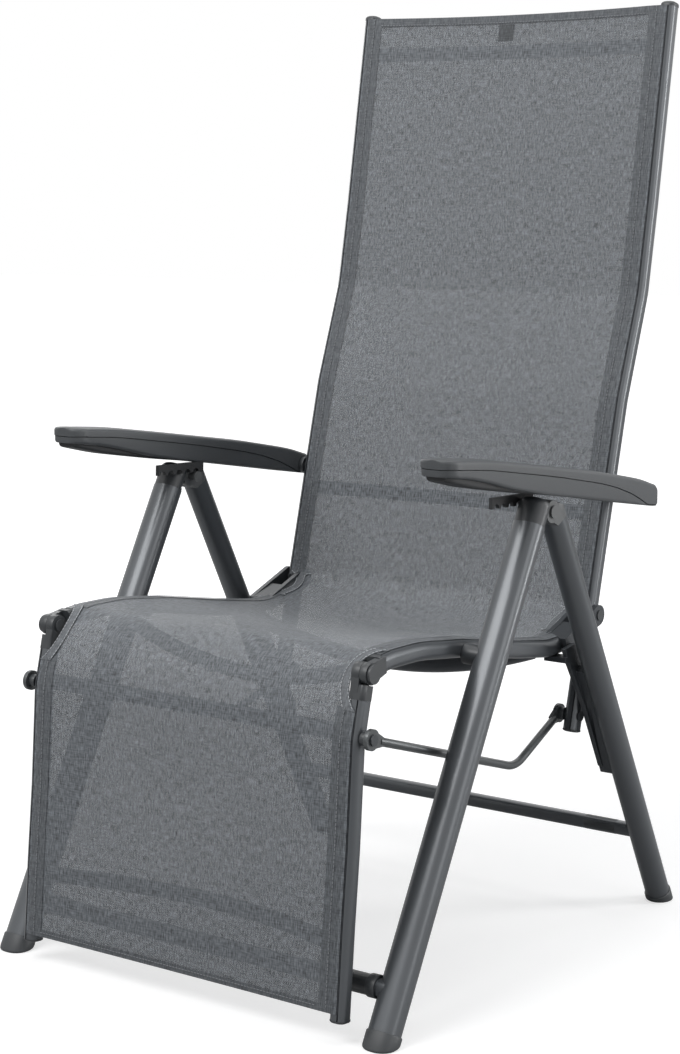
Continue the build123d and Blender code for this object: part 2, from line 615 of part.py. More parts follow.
def end_cap(end, direction, length):
    """Return a cap over the end of a left rail."""
    outline = RectangleRounded(RAIL_WIDTH, RAIL_DEPTH, RAIL_CORNER)
    plane = along_plane(RAIL_X, moved(end, direction, SNUG), direction)
    cap = extrude(plane * outline, amount=length)
    top = cap.faces().sort_by(Axis(plane.origin, plane.z_dir))[-1]
    return fillet(top.edges(), CAP_ROUND)


back_cap = end_cap(BACK_RAIL[0], unit(BACK_RAIL[1], BACK_RAIL[0]), CAP_LENGTH)
nodes["back_caps"] = Compound([back_cap, mirror(back_cap, about=Plane.YZ)])
back_plug = end_cap(BACK_RAIL[-1], unit(BACK_RAIL[-2], BACK_RAIL[-1]), PLUG_LENGTH)
nodes["back_plugs"] = Compound([back_plug, mirror(back_plug, about=Plane.YZ)])

# Footrest frame: its connector has the inner half of the barrel
shin_rail = rail(FOOTREST_RAIL, SHIN_BEND)
mirrored["footrest_rail"] = shin_rail
shin_dir = unit(FOOTREST_RAIL[0], FOOTREST_PIVOT)
shin_side = turned(shin_dir)
shin_up = unit(FOOTREST_RAIL[1], FOOTREST_RAIL[0])
shin_start = moved(FOOTREST_RAIL[0], shin_up, SNUG)
shin_neck = [
    moved(shin_start, turned(shin_up), -CONNECTOR_DEPTH / 2),
    moved(shin_start, turned(shin_up), CONNECTOR_DEPTH / 2),
    moved(FOOTREST_PIVOT, shin_side, BARREL_RADIUS - CLOTH),
    moved(FOOTREST_PIVOT, shin_side, -BARREL_RADIUS + CLOTH),
]
shin_hinge = plate(shin_neck, HINGE_INNER_X, HINGE_SPLIT_X - split_gap)
shin_hinge += pin(FOOTREST_PIVOT, HINGE_INNER_X, HINGE_SPLIT_X - split_gap, BARREL_RADIUS)
shin_foot = extrude(along_plane(RAIL_X, shin_start, shin_up)
                    * RectangleRounded(RAIL_WIDTH - CLOTH, RAIL_DEPTH - CLOTH, RAIL_CORNER),
                    amount=COLLAR_LENGTH - CLOTH)
shin_hinge += shin_foot - pin(FOOTREST_PIVOT, HINGE_SPLIT_X - split_gap, rail_outer + OVERCUT,
                              BARREL_RADIUS + SIDE_PLAY)
shin_hinge -= pin(FOOTREST_PIVOT, rail_inner - OVERCUT, rail_outer, HINGE_PIN_RADIUS + RUNNING)
mirrored["footrest_hinge"] = shin_hinge
shin_half = rail_inner
nodes["footrest_upper_bar"] = straight_bar((SHIN_UPPER_BAR[0] + BAR_BEHIND, SHIN_UPPER_BAR[1]),
                                           shin_half, BAR_RADIUS)
nodes["footrest_lower_bar"] = bowed_bar((SHIN_LOWER_BAR[0] + BAR_BEHIND, SHIN_LOWER_BAR[1]),
                                        (SHIN_LOWER_BOW, 0), BAR_RADIUS)
shin_plug = end_cap(FOOTREST_RAIL[-1], unit(FOOTREST_RAIL[-2], FOOTREST_RAIL[-1]), PLUG_LENGTH)
nodes["footrest_plugs"] = Compound([shin_plug, mirror(shin_plug, about=Plane.YZ)])

# Fabric panels
nodes["back_fabric"] = cloth((), (BACK_CLOTH_TOP,) + BACK_CLOTH_HELD, BACK_CLOTH_END, BACK_SAG)
seat_cut = Pos(FRONT_CUT_X, SEAT_CUT_Y, SEAT_PIVOT[1]) * Cylinder(FRONT_CUT_RADIUS, SEAT_PIVOT[1])
rear_cut = Pos(REAR_CUT_X, REAR_CUT_Y, SEAT_PIVOT[1]) * Cylinder(REAR_CUT_RADIUS, SEAT_PIVOT[1])
seat_fabric = cloth(SEAT_CLOTH_REAR, SEAT_CLOTH_HELD, SEAT_CLOTH_KNEE, SEAT_SAG)
for cut in (seat_cut, rear_cut):
    seat_fabric = seat_fabric - cut - mirror(cut, about=Plane.YZ)
nodes["seat_fabric"] = seat_fabric
shin_cut = Pos(FRONT_CUT_X, 0, SHIN_CUT_Z) * Rotation(90, 0, 0) * Cylinder(FRONT_CUT_RADIUS, SEAT_PIVOT[1])
shin_fabric = cloth(SHIN_CLOTH_KNEE, SHIN_CLOTH_HELD, (), SHIN_SAG)
shin_fabric = shin_fabric - shin_cut - mirror(shin_cut, about=Plane.YZ)
nodes["footrest_fabric"] = shin_fabric

# Blank tag sewn on the front of the back fabric, under the top hem
tag_slope = unit(BACK_CLOTH_HELD[0], BACK_CLOTH_TOP)
tag_share = (TAG_Z - BACK_CLOTH_HELD[0][1]) / (BACK_CLOTH_TOP[1] - BACK_CLOTH_HELD[0][1])
tag_y = BACK_CLOTH_HELD[0][0] + (BACK_CLOTH_TOP[0] - BACK_CLOTH_HELD[0][0]) * tag_share
tag_base = moved((tag_y, TAG_Z), turned(tag_slope), -BACK_SAG + CLOTH / 2 + 2 * GAP)
tag_plane = along_plane(TAG_X, tag_base, tag_slope)
nodes["label_tag"] = tag_plane * Pos(0, -TAG_THICK / 2, 0) * Box(TAG_WIDTH, TAG_THICK, TAG_HEIGHT)

# Link rods: front eye outside the footrest rail, rear eye inside the back rail
rod_start = at(ROD_FRONT_X, ROD_FRONT)
rod_middle = at(ROD_BEND_X, ROD_BEND)
rod_end = at(ROD_REAR_X, ROD_REAR)
start_dir = (rod_middle - rod_start).normalized()
end_dir = (rod_end - rod_middle).normalized()
rod_path = FilletPolyline(rod_start + start_dir * ROD_STUB, rod_middle, rod_end - end_dir * ROD_STUB,
                          radius=ROD_BEND_RADIUS)
rod = sweep(Plane(origin=rod_path @ 0, z_dir=rod_path % 0) * Circle(ROD_RADIUS), path=rod_path)


def rod_eye(x, point, toward):
    """Return the flattened eye at one end of a link rod."""
    inner = x - ROD_EYE_THICK / 2
    outer = x + ROD_EYE_THICK / 2
    direction = unit(point, toward)
    side = turned(direction)
    tail = moved(point, direction, ROD_STUB + ROD_EYE_THICK)
    neck = [moved(point, side, ROD_EYE_RADIUS - CLOTH), moved(point, side, -ROD_EYE_RADIUS + CLOTH),
            moved(tail, side, -ROD_RADIUS), moved(tail, side, ROD_RADIUS)]
    return pin(point, inner, outer, ROD_EYE_RADIUS) + plate(neck, inner, outer)


rod += rod_eye(ROD_FRONT_X, ROD_FRONT, ROD_BEND)
rod += rod_eye(ROD_REAR_X, ROD_REAR, ROD_BEND)
rod -= pin(ROD_FRONT, rail_outer, ROD_FRONT_X + OVERCUT, ROD_PIN_RADIUS + SNUG)
rod -= pin(ROD_REAR, ROD_REAR_X - OVERCUT, rail_inner, ROD_PIN_RADIUS + SNUG)
mirrored["link_rod"] = rod
front_eye_inner = ROD_FRONT_X - ROD_EYE_THICK / 2
front_eye_outer = ROD_FRONT_X + ROD_EYE_THICK / 2
rear_eye_inner = ROD_REAR_X - ROD_EYE_THICK / 2
rear_eye_outer = ROD_REAR_X + ROD_EYE_THICK / 2
bushes = [pin(ROD_FRONT, rail_outer + SIDE_PLAY, front_eye_inner - SNUG, BUSH_RADIUS)
          - pin(ROD_FRONT, rail_outer, front_eye_outer, ROD_PIN_RADIUS + SNUG),
          pin(ROD_REAR, rear_eye_outer + SNUG, rail_inner - SIDE_PLAY, BUSH_RADIUS)
          - pin(ROD_REAR, rear_eye_inner, rail_inner + OVERCUT, ROD_PIN_RADIUS + SNUG)]
nodes["link_bushes"] = Compound(bushes + [mirror(bush, about=Plane.YZ) for bush in bushes])
front_rivet = pin(ROD_FRONT, rail_outer + SIDE_PLAY, front_eye_outer + ROD_PIN_HEAD_THICK, ROD_PIN_RADIUS)
front_rivet += pin(ROD_FRONT, front_eye_outer + SNUG, front_eye_outer + ROD_PIN_HEAD_THICK, ROD_PIN_HEAD)
rear_rivet = pin(ROD_REAR, rear_eye_inner - ROD_PIN_HEAD_THICK, rail_outer + ROD_PIN_HEAD_THICK,
                 ROD_PIN_RADIUS)
rear_rivet += pin(ROD_REAR, rear_eye_inner - ROD_PIN_HEAD_THICK, rear_eye_inner - SNUG, ROD_PIN_HEAD)
rear_rivet += pin(ROD_REAR, rail_outer + SIDE_PLAY, rail_outer + ROD_PIN_HEAD_THICK, ROD_PIN_HEAD)
rivets = [front_rivet, rear_rivet]
nodes["link_rivets"] = Compound(rivets + [mirror(rivet, about=Plane.YZ) for rivet in rivets])

# Armrests: a long shell split along a parting line
arm_start = ARM_X - ARM_WIDTH / 2
arm_end = ARM_X + ARM_WIDTH / 2
top_points = [at(arm_start, point) for point in ARM_TOP]
low_points = [at(arm_start, point) for point in ARM_LOW]
arm_outline = [
    Spline(*top_points),
    ThreePointArc(top_points[-1], at(arm_start, ARM_END), low_points[0]),
    Spline(*low_points),
    ThreePointArc(low_points[-1], at(arm_start, ARM_NOSE), top_points[0]),
]
arm_body = extrude(make_face(arm_outline), amount=ARM_WIDTH, dir=(1, 0, 0))
plan = Plane.XY * Pos(ARM_X, (ARM_NOSE[0] + ARM_END[0]) / 2)
plan_outline = plan * Rectangle(ARM_WIDTH, ARM_END[0] - ARM_NOSE[0] + 2 * SNUG)
tip_corners = plan_outline.vertices().group_by(Axis.Y)[0]
rear_corners = plan_outline.vertices().group_by(Axis.Y)[-1]
plan_outline = fillet(tip_corners, ARM_TIP_ROUND)
plan_outline = fillet(plan_outline.vertices().group_by(Axis.Y)[-1], ARM_REAR_ROUND)
arm_body = arm_body & extrude(plan_outline, amount=2 * ARM_NOSE[1])

# The parting surface follows the top at a fixed depth and dives at the rear end
parting = [(point[0], point[1] - ARM_PARTING) for point in ARM_TOP[:-1]]


def above(points, drop):
    """Return everything above the parting line, lowered by a drop."""
    line = [(point[0], point[1] - drop) for point in points]
    start = (line[0][0] - ARM_WIDTH, line[0][1] + drop)
    end = (line[-1][0] + ARM_PARTING, line[-1][1] - 3 * ARM_PARTING)
    far = (end[0] + 2 * ARM_WIDTH, end[1])
    roof = (far[0], line[0][1] + 2 * ARM_WIDTH)
    roof_start = (start[0], roof[1])
    return plate([start] + line + [end, far, roof, roof_start], arm_start - OVERCUT, arm_end + OVERCUT)


arm_hollow = plate([
    (ARM_TOP[1][0] - ARM_WIDTH / 2, ARM_TOP[1][1] - ARM_PARTING),
    (ARM_TOP[1][0] - ARM_WIDTH / 2, ARM_TOP[1][1] - ARM_WALL),
    (ARM_TOP[2][0], ARM_TOP[2][1] - ARM_WALL),
    (ARM_TOP[3][0], ARM_TOP[3][1] - ARM_WALL),
    (ARM_TOP[4][0] - ARM_WALL, ARM_TOP[4][1] - ARM_WALL),
    (ARM_TOP[4][0] - ARM_WALL, ARM_TOP[4][1] - ARM_PARTING),
    (ARM_TOP[3][0], ARM_TOP[3][1] - ARM_PARTING),
    (ARM_TOP[2][0], ARM_TOP[2][1] - ARM_PARTING),
], arm_start + ARM_WALL, arm_end - ARM_WALL)
arm_bore = pin(ARM_PIVOT, arm_start - OVERCUT, ARM_PIN_REACH + SIDE_PLAY, ARM_PIN_RADIUS + RUNNING)
arm_upper = (arm_body & above(parting, 0)) - arm_hollow - arm_bore
arm_lower = arm_body - above(parting, ARM_PARTING_GAP) - arm_hollow - arm_bore
mirrored["armrest_top"] = arm_upper.solids().sort_by(SortBy.VOLUME)[-1]

# Rack: its teeth pass just over the lock bolt along the line from the armrest pivot to the bolt
ray = unit(ARM_PIVOT, LEG_PIVOT)
ray_up = (-turned(ray)[0], -turned(ray)[1])
tooth_line = BOLT_RADIUS + RACK_CLEAR
rack_start = arm_start + RACK_INSET
rack_end = rack_start + RACK_THICK


def rack_point(reach, rise):
    """Return the side plane point at a reach from the armrest pivot and a rise over the bolt line."""
    return moved(moved(ARM_PIVOT, ray, reach), ray_up, tooth_line + rise)


rack = plate([rack_point(RACK_NEAR, 0), rack_point(RACK_FAR, 0), rack_point(RACK_FAR, RACK_HEIGHT),
              rack_point(RACK_NEAR, RACK_HEIGHT)], rack_start, rack_end)
for reach in RACK_POSITIONS:
    rack -= pin(rack_point(reach, 0), rack_start - OVERCUT, rack_end + OVERCUT, RACK_SEAT)
rack_pocket = plate([rack_point(RACK_NEAR - GAP, -GAP), rack_point(RACK_FAR + GAP, -GAP),
                     rack_point(RACK_FAR + GAP, RACK_HEIGHT + GAP),
                     rack_point(RACK_NEAR - GAP, RACK_HEIGHT + GAP)],
                    rack_start - GAP, rack_end + GAP)
mirrored["armrest_rack"] = rack - above(parting, ARM_PARTING_GAP + GAP)
mirrored["armrest_base"] = (arm_lower - rack_pocket).solids().sort_by(SortBy.VOLUME)[-1]

arm_pin = pin(ARM_PIVOT, ARM_SHANK_INNER_X, ARM_PIN_REACH, ARM_PIN_RADIUS)
arm_pin += pin(ARM_PIVOT, rail_outer + SIDE_PLAY, arm_start - SIDE_PLAY, ARM_FLANGE_RADIUS)
nodes["armrest_pins"] = Compound([arm_pin, mirror(arm_pin, about=Plane.YZ)])

for name, shape in mirrored.items():
    nodes[name + "_left"] = shape
    nodes[name + "_right"] = mirror(shape, about=Plane.YZ)

# Put the middle of the footprint at the origin and write one file per node
whole = Compound([node for node in nodes.values()]).bounding_box()
centre = (whole.min.Y + whole.max.Y) / 2
for name, shape in nodes.items():
    export_step(Pos(0, -centre, 0) * shape, "parts/" + name + ".step")

print("size", whole.size, "lowest", whole.min.Z, "centre", centre)
for name, point in (("back", BACK_PIVOT), ("leg", LEG_PIVOT), ("footrest", FOOTREST_PIVOT),
                    ("arm", ARM_PIVOT), ("rod", ROD_REAR)):
    print(name, round((point[0] - centre) / 1000, 6), point[1] / 1000)
fold = degrees(atan2(front_up[0], front_up[1]) - atan2(rear_up[0], rear_up[1]))
print("legs lie parallel after", round(fold, 2), "degrees")
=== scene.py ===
"""Looks of a reclining garden armchair with a stretched mesh sling.

Every length is in metres, in the same frame as the solids: the chair faces -Y, +Z is up and
+X is the sitter's left. Side view points are (y, z) pairs counted from the floor point under
the front feet, as a chair maker would draw the side view; ``SidePlane`` puts them in the frame.
"""
from __future__ import annotations

import json
import logging
import math
from dataclasses import dataclass
from enum import Enum

import bmesh
import bpy
import numpy as np
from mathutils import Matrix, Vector

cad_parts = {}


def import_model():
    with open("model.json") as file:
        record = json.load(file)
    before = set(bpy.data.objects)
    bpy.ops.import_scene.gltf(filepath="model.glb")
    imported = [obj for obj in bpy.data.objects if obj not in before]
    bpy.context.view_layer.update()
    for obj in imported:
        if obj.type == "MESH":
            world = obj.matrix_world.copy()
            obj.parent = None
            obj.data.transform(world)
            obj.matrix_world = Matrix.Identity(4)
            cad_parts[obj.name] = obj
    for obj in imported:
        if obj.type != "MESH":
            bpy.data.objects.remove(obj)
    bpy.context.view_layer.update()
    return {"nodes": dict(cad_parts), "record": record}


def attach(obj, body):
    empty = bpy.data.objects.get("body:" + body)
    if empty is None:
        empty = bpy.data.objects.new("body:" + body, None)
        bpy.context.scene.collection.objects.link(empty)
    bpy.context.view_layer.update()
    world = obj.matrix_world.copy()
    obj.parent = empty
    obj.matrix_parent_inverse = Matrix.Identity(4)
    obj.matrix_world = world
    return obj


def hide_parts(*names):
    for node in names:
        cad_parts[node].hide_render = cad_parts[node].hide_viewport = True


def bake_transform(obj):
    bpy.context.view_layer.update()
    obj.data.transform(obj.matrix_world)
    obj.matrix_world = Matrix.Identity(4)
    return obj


LOG = logging.getLogger("armchair")

Point = tuple[float, float]
Colour = tuple[float, float, float]
Face = tuple[int, ...]
Row = tuple[np.ndarray, np.ndarray]

X_AXIS = np.array((1.0, 0.0, 0.0))
Y_AXIS = np.array((0.0, 1.0, 0.0))
Z_AXIS = np.array((0.0, 0.0, 1.0))
QUARTER = 0.5 * math.pi
WHITE = (1.0, 1.0, 1.0, 1.0)


class Side(Enum):
    """The two mirror sides of the chair; the value is the sign of X."""

    LEFT = 1
    RIGHT = -1

    @property
    def word(self) -> str:
        """Return the ending that names a piece on this side."""
        return self.name.lower()


class Body(Enum):
    """The moving bodies that pieces ride on."""

    FRAME = "front_frame"
    REAR = "rear_legs"
    BACK = "back"
    FOOTREST = "footrest"
    ARM_LEFT = "armrest_left"
    ARM_RIGHT = "armrest_right"


@dataclass(frozen=True)
class SidePlane:
    """Turns side view points into points of the frame.

    Attributes:
        origin_y: Y of the floor point under the front feet.
    """

    origin_y: float

    def at(self, x: float, point: Point) -> np.ndarray:
        """Return the point over a side view point at a distance x from the middle."""
        return np.array((x, self.origin_y + point[0], point[1]))

    def line(self, x: float | np.ndarray, points: np.ndarray) -> np.ndarray:
        """Return side view points as frame points, one row each."""
        wide = np.broadcast_to(x, len(points))
        return np.column_stack((wide, self.origin_y + points[:, 0], points[:, 1]))


# ---------------------------------------------------------------- curves and meshes


def unit(vector: np.ndarray) -> np.ndarray:
    """Return a vector, or each row of vectors, at length one."""
    return vector / np.linalg.norm(vector, axis=-1, keepdims=True)


def running_length(path: np.ndarray) -> np.ndarray:
    """Return the length along a path from its start to each of its points."""
    return np.concatenate(([0.0], np.cumsum(np.linalg.norm(np.diff(path, axis=0), axis=1))))


def rounded_path(points: np.ndarray, radius: float, step: float = 0.004) -> np.ndarray:
    """Round the corners of a path with arcs.

    An arc starts and ends at radius / tan(half the corner's angle) from its corner, and its
    points turn evenly from the one end's radius to the other's.

    Args:
        points: Corner points, one row each.
        radius: Bend radius of the centreline.
        step: Spacing of the points on each arc.

    Returns:
        The path, with straight stretches between the arcs.
    """
    longest_share = 0.48
    widest_turn = 0.09
    out = [points[:1]]
    for before, corner, after in zip(points, points[1:], points[2:]):
        back = unit(before - corner)
        ahead = unit(after - corner)
        half = 0.5 * math.acos(float(np.clip(np.dot(back, ahead), -1.0, 1.0)))
        reach = min(radius / math.tan(half), longest_share * np.linalg.norm(before - corner),
                    longest_share * np.linalg.norm(after - corner))
        bend = reach * math.tan(half)
        centre = corner + unit(back + ahead) * bend / math.sin(half)
        start = corner + back * reach - centre
        finish = corner + ahead * reach - centre
        turn = math.pi - 2.0 * half
        count = max(2, math.ceil(bend * turn / step), math.ceil(turn / widest_turn))
        share = np.arange(count + 1)[:, None] / count
        out.append(centre + start * np.sin((1.0 - share) * turn) / math.sin(turn)
                   + finish * np.sin(share * turn) / math.sin(turn))
    out.append(points[-1:])
    return np.vstack(out)


def resampled(path: np.ndarray, spacing: float) -> np.ndarray:
    """Add points to a path so that no stretch is longer than the spacing.

    Args:
        path: Points, one row each.
        spacing: Longest stretch allowed.

    Returns:
        The same path with more points.
    """
    out = [path[:1]]
    for start, finish in zip(path, path[1:]):
        count = max(1, math.ceil(np.linalg.norm(finish - start) / spacing))
        out.append(start + (finish - start) * np.arange(1, count + 1)[:, None] / count)
    return np.vstack(out)


def tangents(path: np.ndarray) -> np.ndarray:
    """Return the unit direction of travel at each point of a path."""
    ahead = unit(np.diff(path, axis=0))
    return unit(np.vstack((ahead[:1], ahead[:-1] + ahead[1:], ahead[-1:])))


def hermite(start: np.ndarray, end: np.ndarray, ways: tuple[Point, Point], pull: float,
            count: int = 42) -> np.ndarray:
    """Join two points with a smooth cubic curve of its share s, by the four Hermite weights.

    They are 2s^3 - 3s^2 + 1 for the start and s^3 - 2s^2 + s for the direction there,
    3s^2 - 2s^3 for the end and s^3 - s^2 for the direction there.

    Args:
        start: First point.
        end: Last point.
        ways: Directions of the curve at its two ends.
        pull: How strongly the curve keeps to those directions.
        count: Number of points, with the two ends.

    Returns:
        Points of the curve, without its end points.
    """
    share = np.linspace(0.0, 1.0, count)[1:-1, None]
    cube = share ** 3
    square = share ** 2
    way_in, way_out = np.array(ways)
    return ((2 * cube - 3 * square + 1) * start + (cube - 2 * square + share) * pull * way_in
            + (3 * square - 2 * cube) * end + (cube - square) * pull * way_out)


def linked(name: str, data: bpy.types.ID) -> bpy.types.Object:
    """Make an object and link it to the scene.

    Args:
        name: Name of the object.
        data: Its mesh, lamp or camera.

    Returns:
        The new object.
    """
    piece = bpy.data.objects.new(name, data)
    bpy.context.scene.collection.objects.link(piece)
    return piece


def build_mesh(name: str, verts: np.ndarray, faces: list[Face], sharp: float = 35.0,
               closed: bool = True) -> bpy.types.Object:
    """Make an object from points and faces, smooth shaded with sharp creases.

    Args:
        name: Name of the piece.
        verts: Points, one row each.
        faces: Point numbers of each face.
        sharp: Edges that bend by more than this many degrees stay crisp.
        closed: True for a closed shell, whose faces are turned outwards.

    Returns:
        The new object, linked to the scene.
    """
    mesh = bpy.data.meshes.new(name)
    mesh.from_pydata(verts.tolist(), [], faces)
    if closed:
        shell = bmesh.new()
        shell.from_mesh(mesh)
        bmesh.ops.recalc_face_normals(shell, faces=shell.faces)
        shell.to_mesh(mesh)
        shell.free()
    mesh.update()
    mesh.polygons.foreach_set("use_smooth", np.ones(len(mesh.polygons), dtype=bool))
    mesh.set_sharp_from_angle(angle=math.radians(sharp))
    return linked(name, mesh)


def ring_faces(rows: int, ring: int, closed: bool = True) -> list[Face]:
    """Join neighbouring rows of points with four-sided faces.

    Args:
        rows: Number of rows.
        ring: Number of points in a row.
        closed: True if the last point of a row joins its first.

    Returns:
        The faces, row by row.
    """
    low = np.arange(rows - 1)[:, None] * ring
    here = np.arange(ring if closed else ring - 1)
    after = (here + 1) % ring
    corners = np.stack((low + here, low + after, low + ring + after, low + ring + here), axis=-1)
    return [tuple(face) for face in corners.reshape(-1, 4).tolist()]


def tube_faces(rows: int, ring: int, base: int = 0) -> list[Face]:
    """Join rings of points to a tube that is closed at both ends.

    Args:
        rows: Number of rings.
        ring: Number of points in a ring.
        base: Number of the first point.

    Returns:
        The side faces, then the two end faces.
    """
    last = ring * (rows - 1)
    ends = [tuple(reversed(range(ring))), tuple(range(last, last + ring))]
    return [tuple(base + corner for corner in face) for face in ring_faces(rows, ring) + ends]


def sweep(name: str, path: np.ndarray, profile: np.ndarray,
          across: np.ndarray = X_AXIS) -> bpy.types.Object:
    """Sweep a closed profile along a path: point + first * profile x + second * profile y.

    The first direction is the given one made square to the path, the second is square to both.

    Args:
        name: Name of the piece.
        path: Centreline points.
        profile: Profile points as (across, out) pairs.
        across: Direction that the profile's first axis keeps to.

    Returns:
        The new object, closed at both ends.
    """
    ways = tangents(path)
    first = unit(across - ways * (ways @ across)[:, None])
    second = np.cross(ways, first)
    rings = path[:, None] + profile[:, :1] * first[:, None] + profile[:, 1:] * second[:, None]
    return build_mesh(name, rings.reshape(-1, 3), tube_faces(len(path), len(profile)))


def oval_profile(width: float, depth: float, power: float = 2.0, count: int = 72) -> np.ndarray:
    """Return an oval outline: half the size times the cosine and sine, each to the 2 / power.

    Args:
        width: Whole width.
        depth: Whole depth.
        power: 2 for an ellipse; more flattens its sides.
        count: Number of points.

    Returns:
        The outline, one point a row.
    """
    angle = np.linspace(0.0, 2.0 * math.pi, count, endpoint=False)
    wave = np.column_stack((np.cos(angle), np.sin(angle)))
    return 0.5 * np.array((width, depth)) * np.sign(wave) * np.abs(wave) ** (2.0 / power)


# ---------------------------------------------------------------- finishes


class Nodes:
    """Adds and wires the nodes of one tree."""

    COLOUR_INPUTS = (6, 7)
    COLOUR_OUTPUT = 2

    def __init__(self, tree: bpy.types.NodeTree) -> None:
        """Keep the tree that nodes are added to."""
        self.tree = tree

    def add(self, kind: str, **values: object) -> bpy.types.Node:
        """Add a node and set properties or inputs by name.

        Args:
            kind: Node type without its "ShaderNode" prefix.
            **values: Property values, or input values with the input's name in lower case.

        Returns:
            The new node.
        """
        node = self.tree.nodes.new(("" if kind.startswith("Node") else "ShaderNode") + kind)
        sockets = {socket.name.lower().replace(" ", "_"): socket
                   for socket in reversed(list(node.inputs))}
        for key, value in values.items():
            if key in sockets:
                self.feed(sockets[key], value)
            else:
                setattr(node, key, value)
        return node

    def feed(self, socket: bpy.types.NodeSocket, value: object) -> None:
        """Wire another socket to an input, or give it a plain value.

        Args:
            socket: The input.
            value: The other socket, or the plain value.
        """
        if isinstance(value, bpy.types.NodeSocket):
            self.tree.links.new(value, socket)
        else:
            socket.default_value = value

    def wire(self, node: bpy.types.Node, values: dict[str, object]) -> None:
        """Feed several inputs of a node by name."""
        for name, value in values.items():
            self.feed(node.inputs[name], value)

    def math(self, operation: str, *values: object) -> bpy.types.NodeSocket:
        """Add a math node.

        Args:
            operation: What it works out.
            *values: Numbers or sockets, one for each input.

        Returns:
            Its output.
        """
        node = self.tree.nodes.new("ShaderNodeMath")
        node.operation = operation
        for socket, value in zip(node.inputs, values):
            self.feed(socket, value)
        return node.outputs[0]

    def tint(self, share: bpy.types.NodeSocket, dark: Colour,
             light: Colour) -> bpy.types.NodeSocket:
        """Blend two colours.

        Args:
            share: 0 for the dark colour, 1 for the light one.
            dark: First colour.
            light: Second colour.

        Returns:
            The blended colour.
        """
        mix = self.add("Mix", data_type="RGBA", factor=share)
        for index, colour in zip(self.COLOUR_INPUTS, (dark, light)):
            mix.inputs[index].default_value = (*colour, 1.0)
        return mix.outputs[self.COLOUR_OUTPUT]


class Group:
    """A new node group with its named inputs and outputs."""

    def __init__(self, name: str, inputs: dict[str, float], outputs: dict[str, str]) -> None:
        """Make the group and its sockets.

        Args:
            name: Name of the group.
            inputs: Name and first value of each input.
            outputs: Name and kind ("Float" or "Vector") of each output.
        """
        self.tree = bpy.data.node_groups.new(name, "ShaderNodeTree")
        face = self.tree.interface
        for key, value in inputs.items():
            socket = face.new_socket(name=key, in_out="INPUT", socket_type="NodeSocketFloat")
            socket.default_value = value
        for key, kind in outputs.items():
            face.new_socket(name=key, in_out="OUTPUT", socket_type="NodeSocket" + kind)
        self.nodes = Nodes(self.tree)
        self.inputs = self.nodes.add("NodeGroupInput").outputs
        self.outputs = self.nodes.add("NodeGroupOutput").inputs


@dataclass(frozen=True)
class Grain:
    """Fine grain with soft patches of tone, shared by all plain finishes.

    Attributes:
        scale: Noise scale of the grain, where a finish sets none.
        depth: Strength of its relief, where a finish sets none.
        patch_scale: Noise scale of the patches.
        details: Noise detail of the grain and of the patches.
        shares: Weights of the grain and of the patches in the tone.
        relief: Height of the grain.
    """

    scale: float = 900.0
    depth: float = 0.1
    patch_scale: float = 9.0
    details: Point = (3.0, 2.0)
    shares: Point = (0.35, 0.65)
    relief: float = 0.0004

    def group(self) -> bpy.types.NodeTree:
        """Build the group: its Tone is the weighted sum of the grain and the patches.

        Returns:
            The group, built once and shared, with a Tone and a Normal raised by the grain.
        """
        known = bpy.data.node_groups.get("Fine grain")
        if known:
            return known
        group = Group("Fine grain", {"Scale": self.scale, "Depth": self.depth,
                                     "Patch Scale": self.patch_scale},
                      {"Tone": "Float", "Normal": "Vector"})
        nodes = group.nodes
        spot = nodes.add("TexCoord").outputs["Object"]
        fine, patch = (nodes.add("TexNoise", vector=spot, scale=group.inputs[key], detail=detail)
                       for key, detail in zip(("Scale", "Patch Scale"), self.details))
        bump = nodes.add("Bump", strength=group.inputs["Depth"], distance=self.relief,
                         height=fine.outputs["Fac"])
        fine_share, patch_share = self.shares
        soft = nodes.math("MULTIPLY", patch.outputs["Fac"], patch_share)
        nodes.feed(group.outputs["Tone"],
                   nodes.math("MULTIPLY_ADD", fine.outputs["Fac"], fine_share, soft))
        nodes.feed(group.outputs["Normal"], bump.outputs["Normal"])
        return group.tree


@dataclass(frozen=True)
class Look:
    """What every finish has.

    Attributes:
        name: Name of the material.
        dark: Colour of the darker patches, or of shaded threads.
        light: Colour of the lighter patches, or of lit threads and slubs.
    """

    name: str
    dark: Colour
    light: Colour

    def values(self, nodes: Nodes) -> dict[str, object]:
        """Return the shader's values by the name of its inputs."""
        raise NotImplementedError

    def material(self) -> bpy.types.Material:
        """Build the material: one shader fed with the values of this finish.

        Returns:
            The material, built once and shared.
        """
        known = bpy.data.materials.get(self.name)
        if known:
            return known
        material = bpy.data.materials.new(self.name)
        material.use_nodes = True
        nodes = Nodes(material.node_tree)
        nodes.wire(material.node_tree.nodes["Principled BSDF"], self.values(nodes))
        return material


@dataclass(frozen=True)
class Finish(Look):
    """A plain finish with a fine grain.

    Attributes:
        metallic: How metallic it is, 0 to 1.
        roughness: Surface roughness.
        grain: Grain size, as a noise scale.
        depth: How deep the grain looks.
        coat: Weight of a clear coat.
        coat_roughness: Roughness of that coat.
    """

    metallic: float
    roughness: float
    grain: float
    depth: float
    coat: float = 0.0
    coat_roughness: float = 0.18

    def values(self, nodes: Nodes) -> dict[str, object]:
        """Add the grain and work out the shader's values.

        Args:
            nodes: The material's nodes.

        Returns:
            The values by the name of the shader's inputs.
        """
        grain = nodes.add("Group", node_tree=Grain().group())
        nodes.wire(grain, {"Scale": self.grain, "Depth": self.depth})
        return {"Metallic": self.metallic, "Roughness": self.roughness, "Coat Weight": self.coat,
                "Coat Roughness": self.coat_roughness, "Normal": grain.outputs["Normal"],
                "Base Color": nodes.tint(grain.outputs["Tone"], self.dark, self.light)}


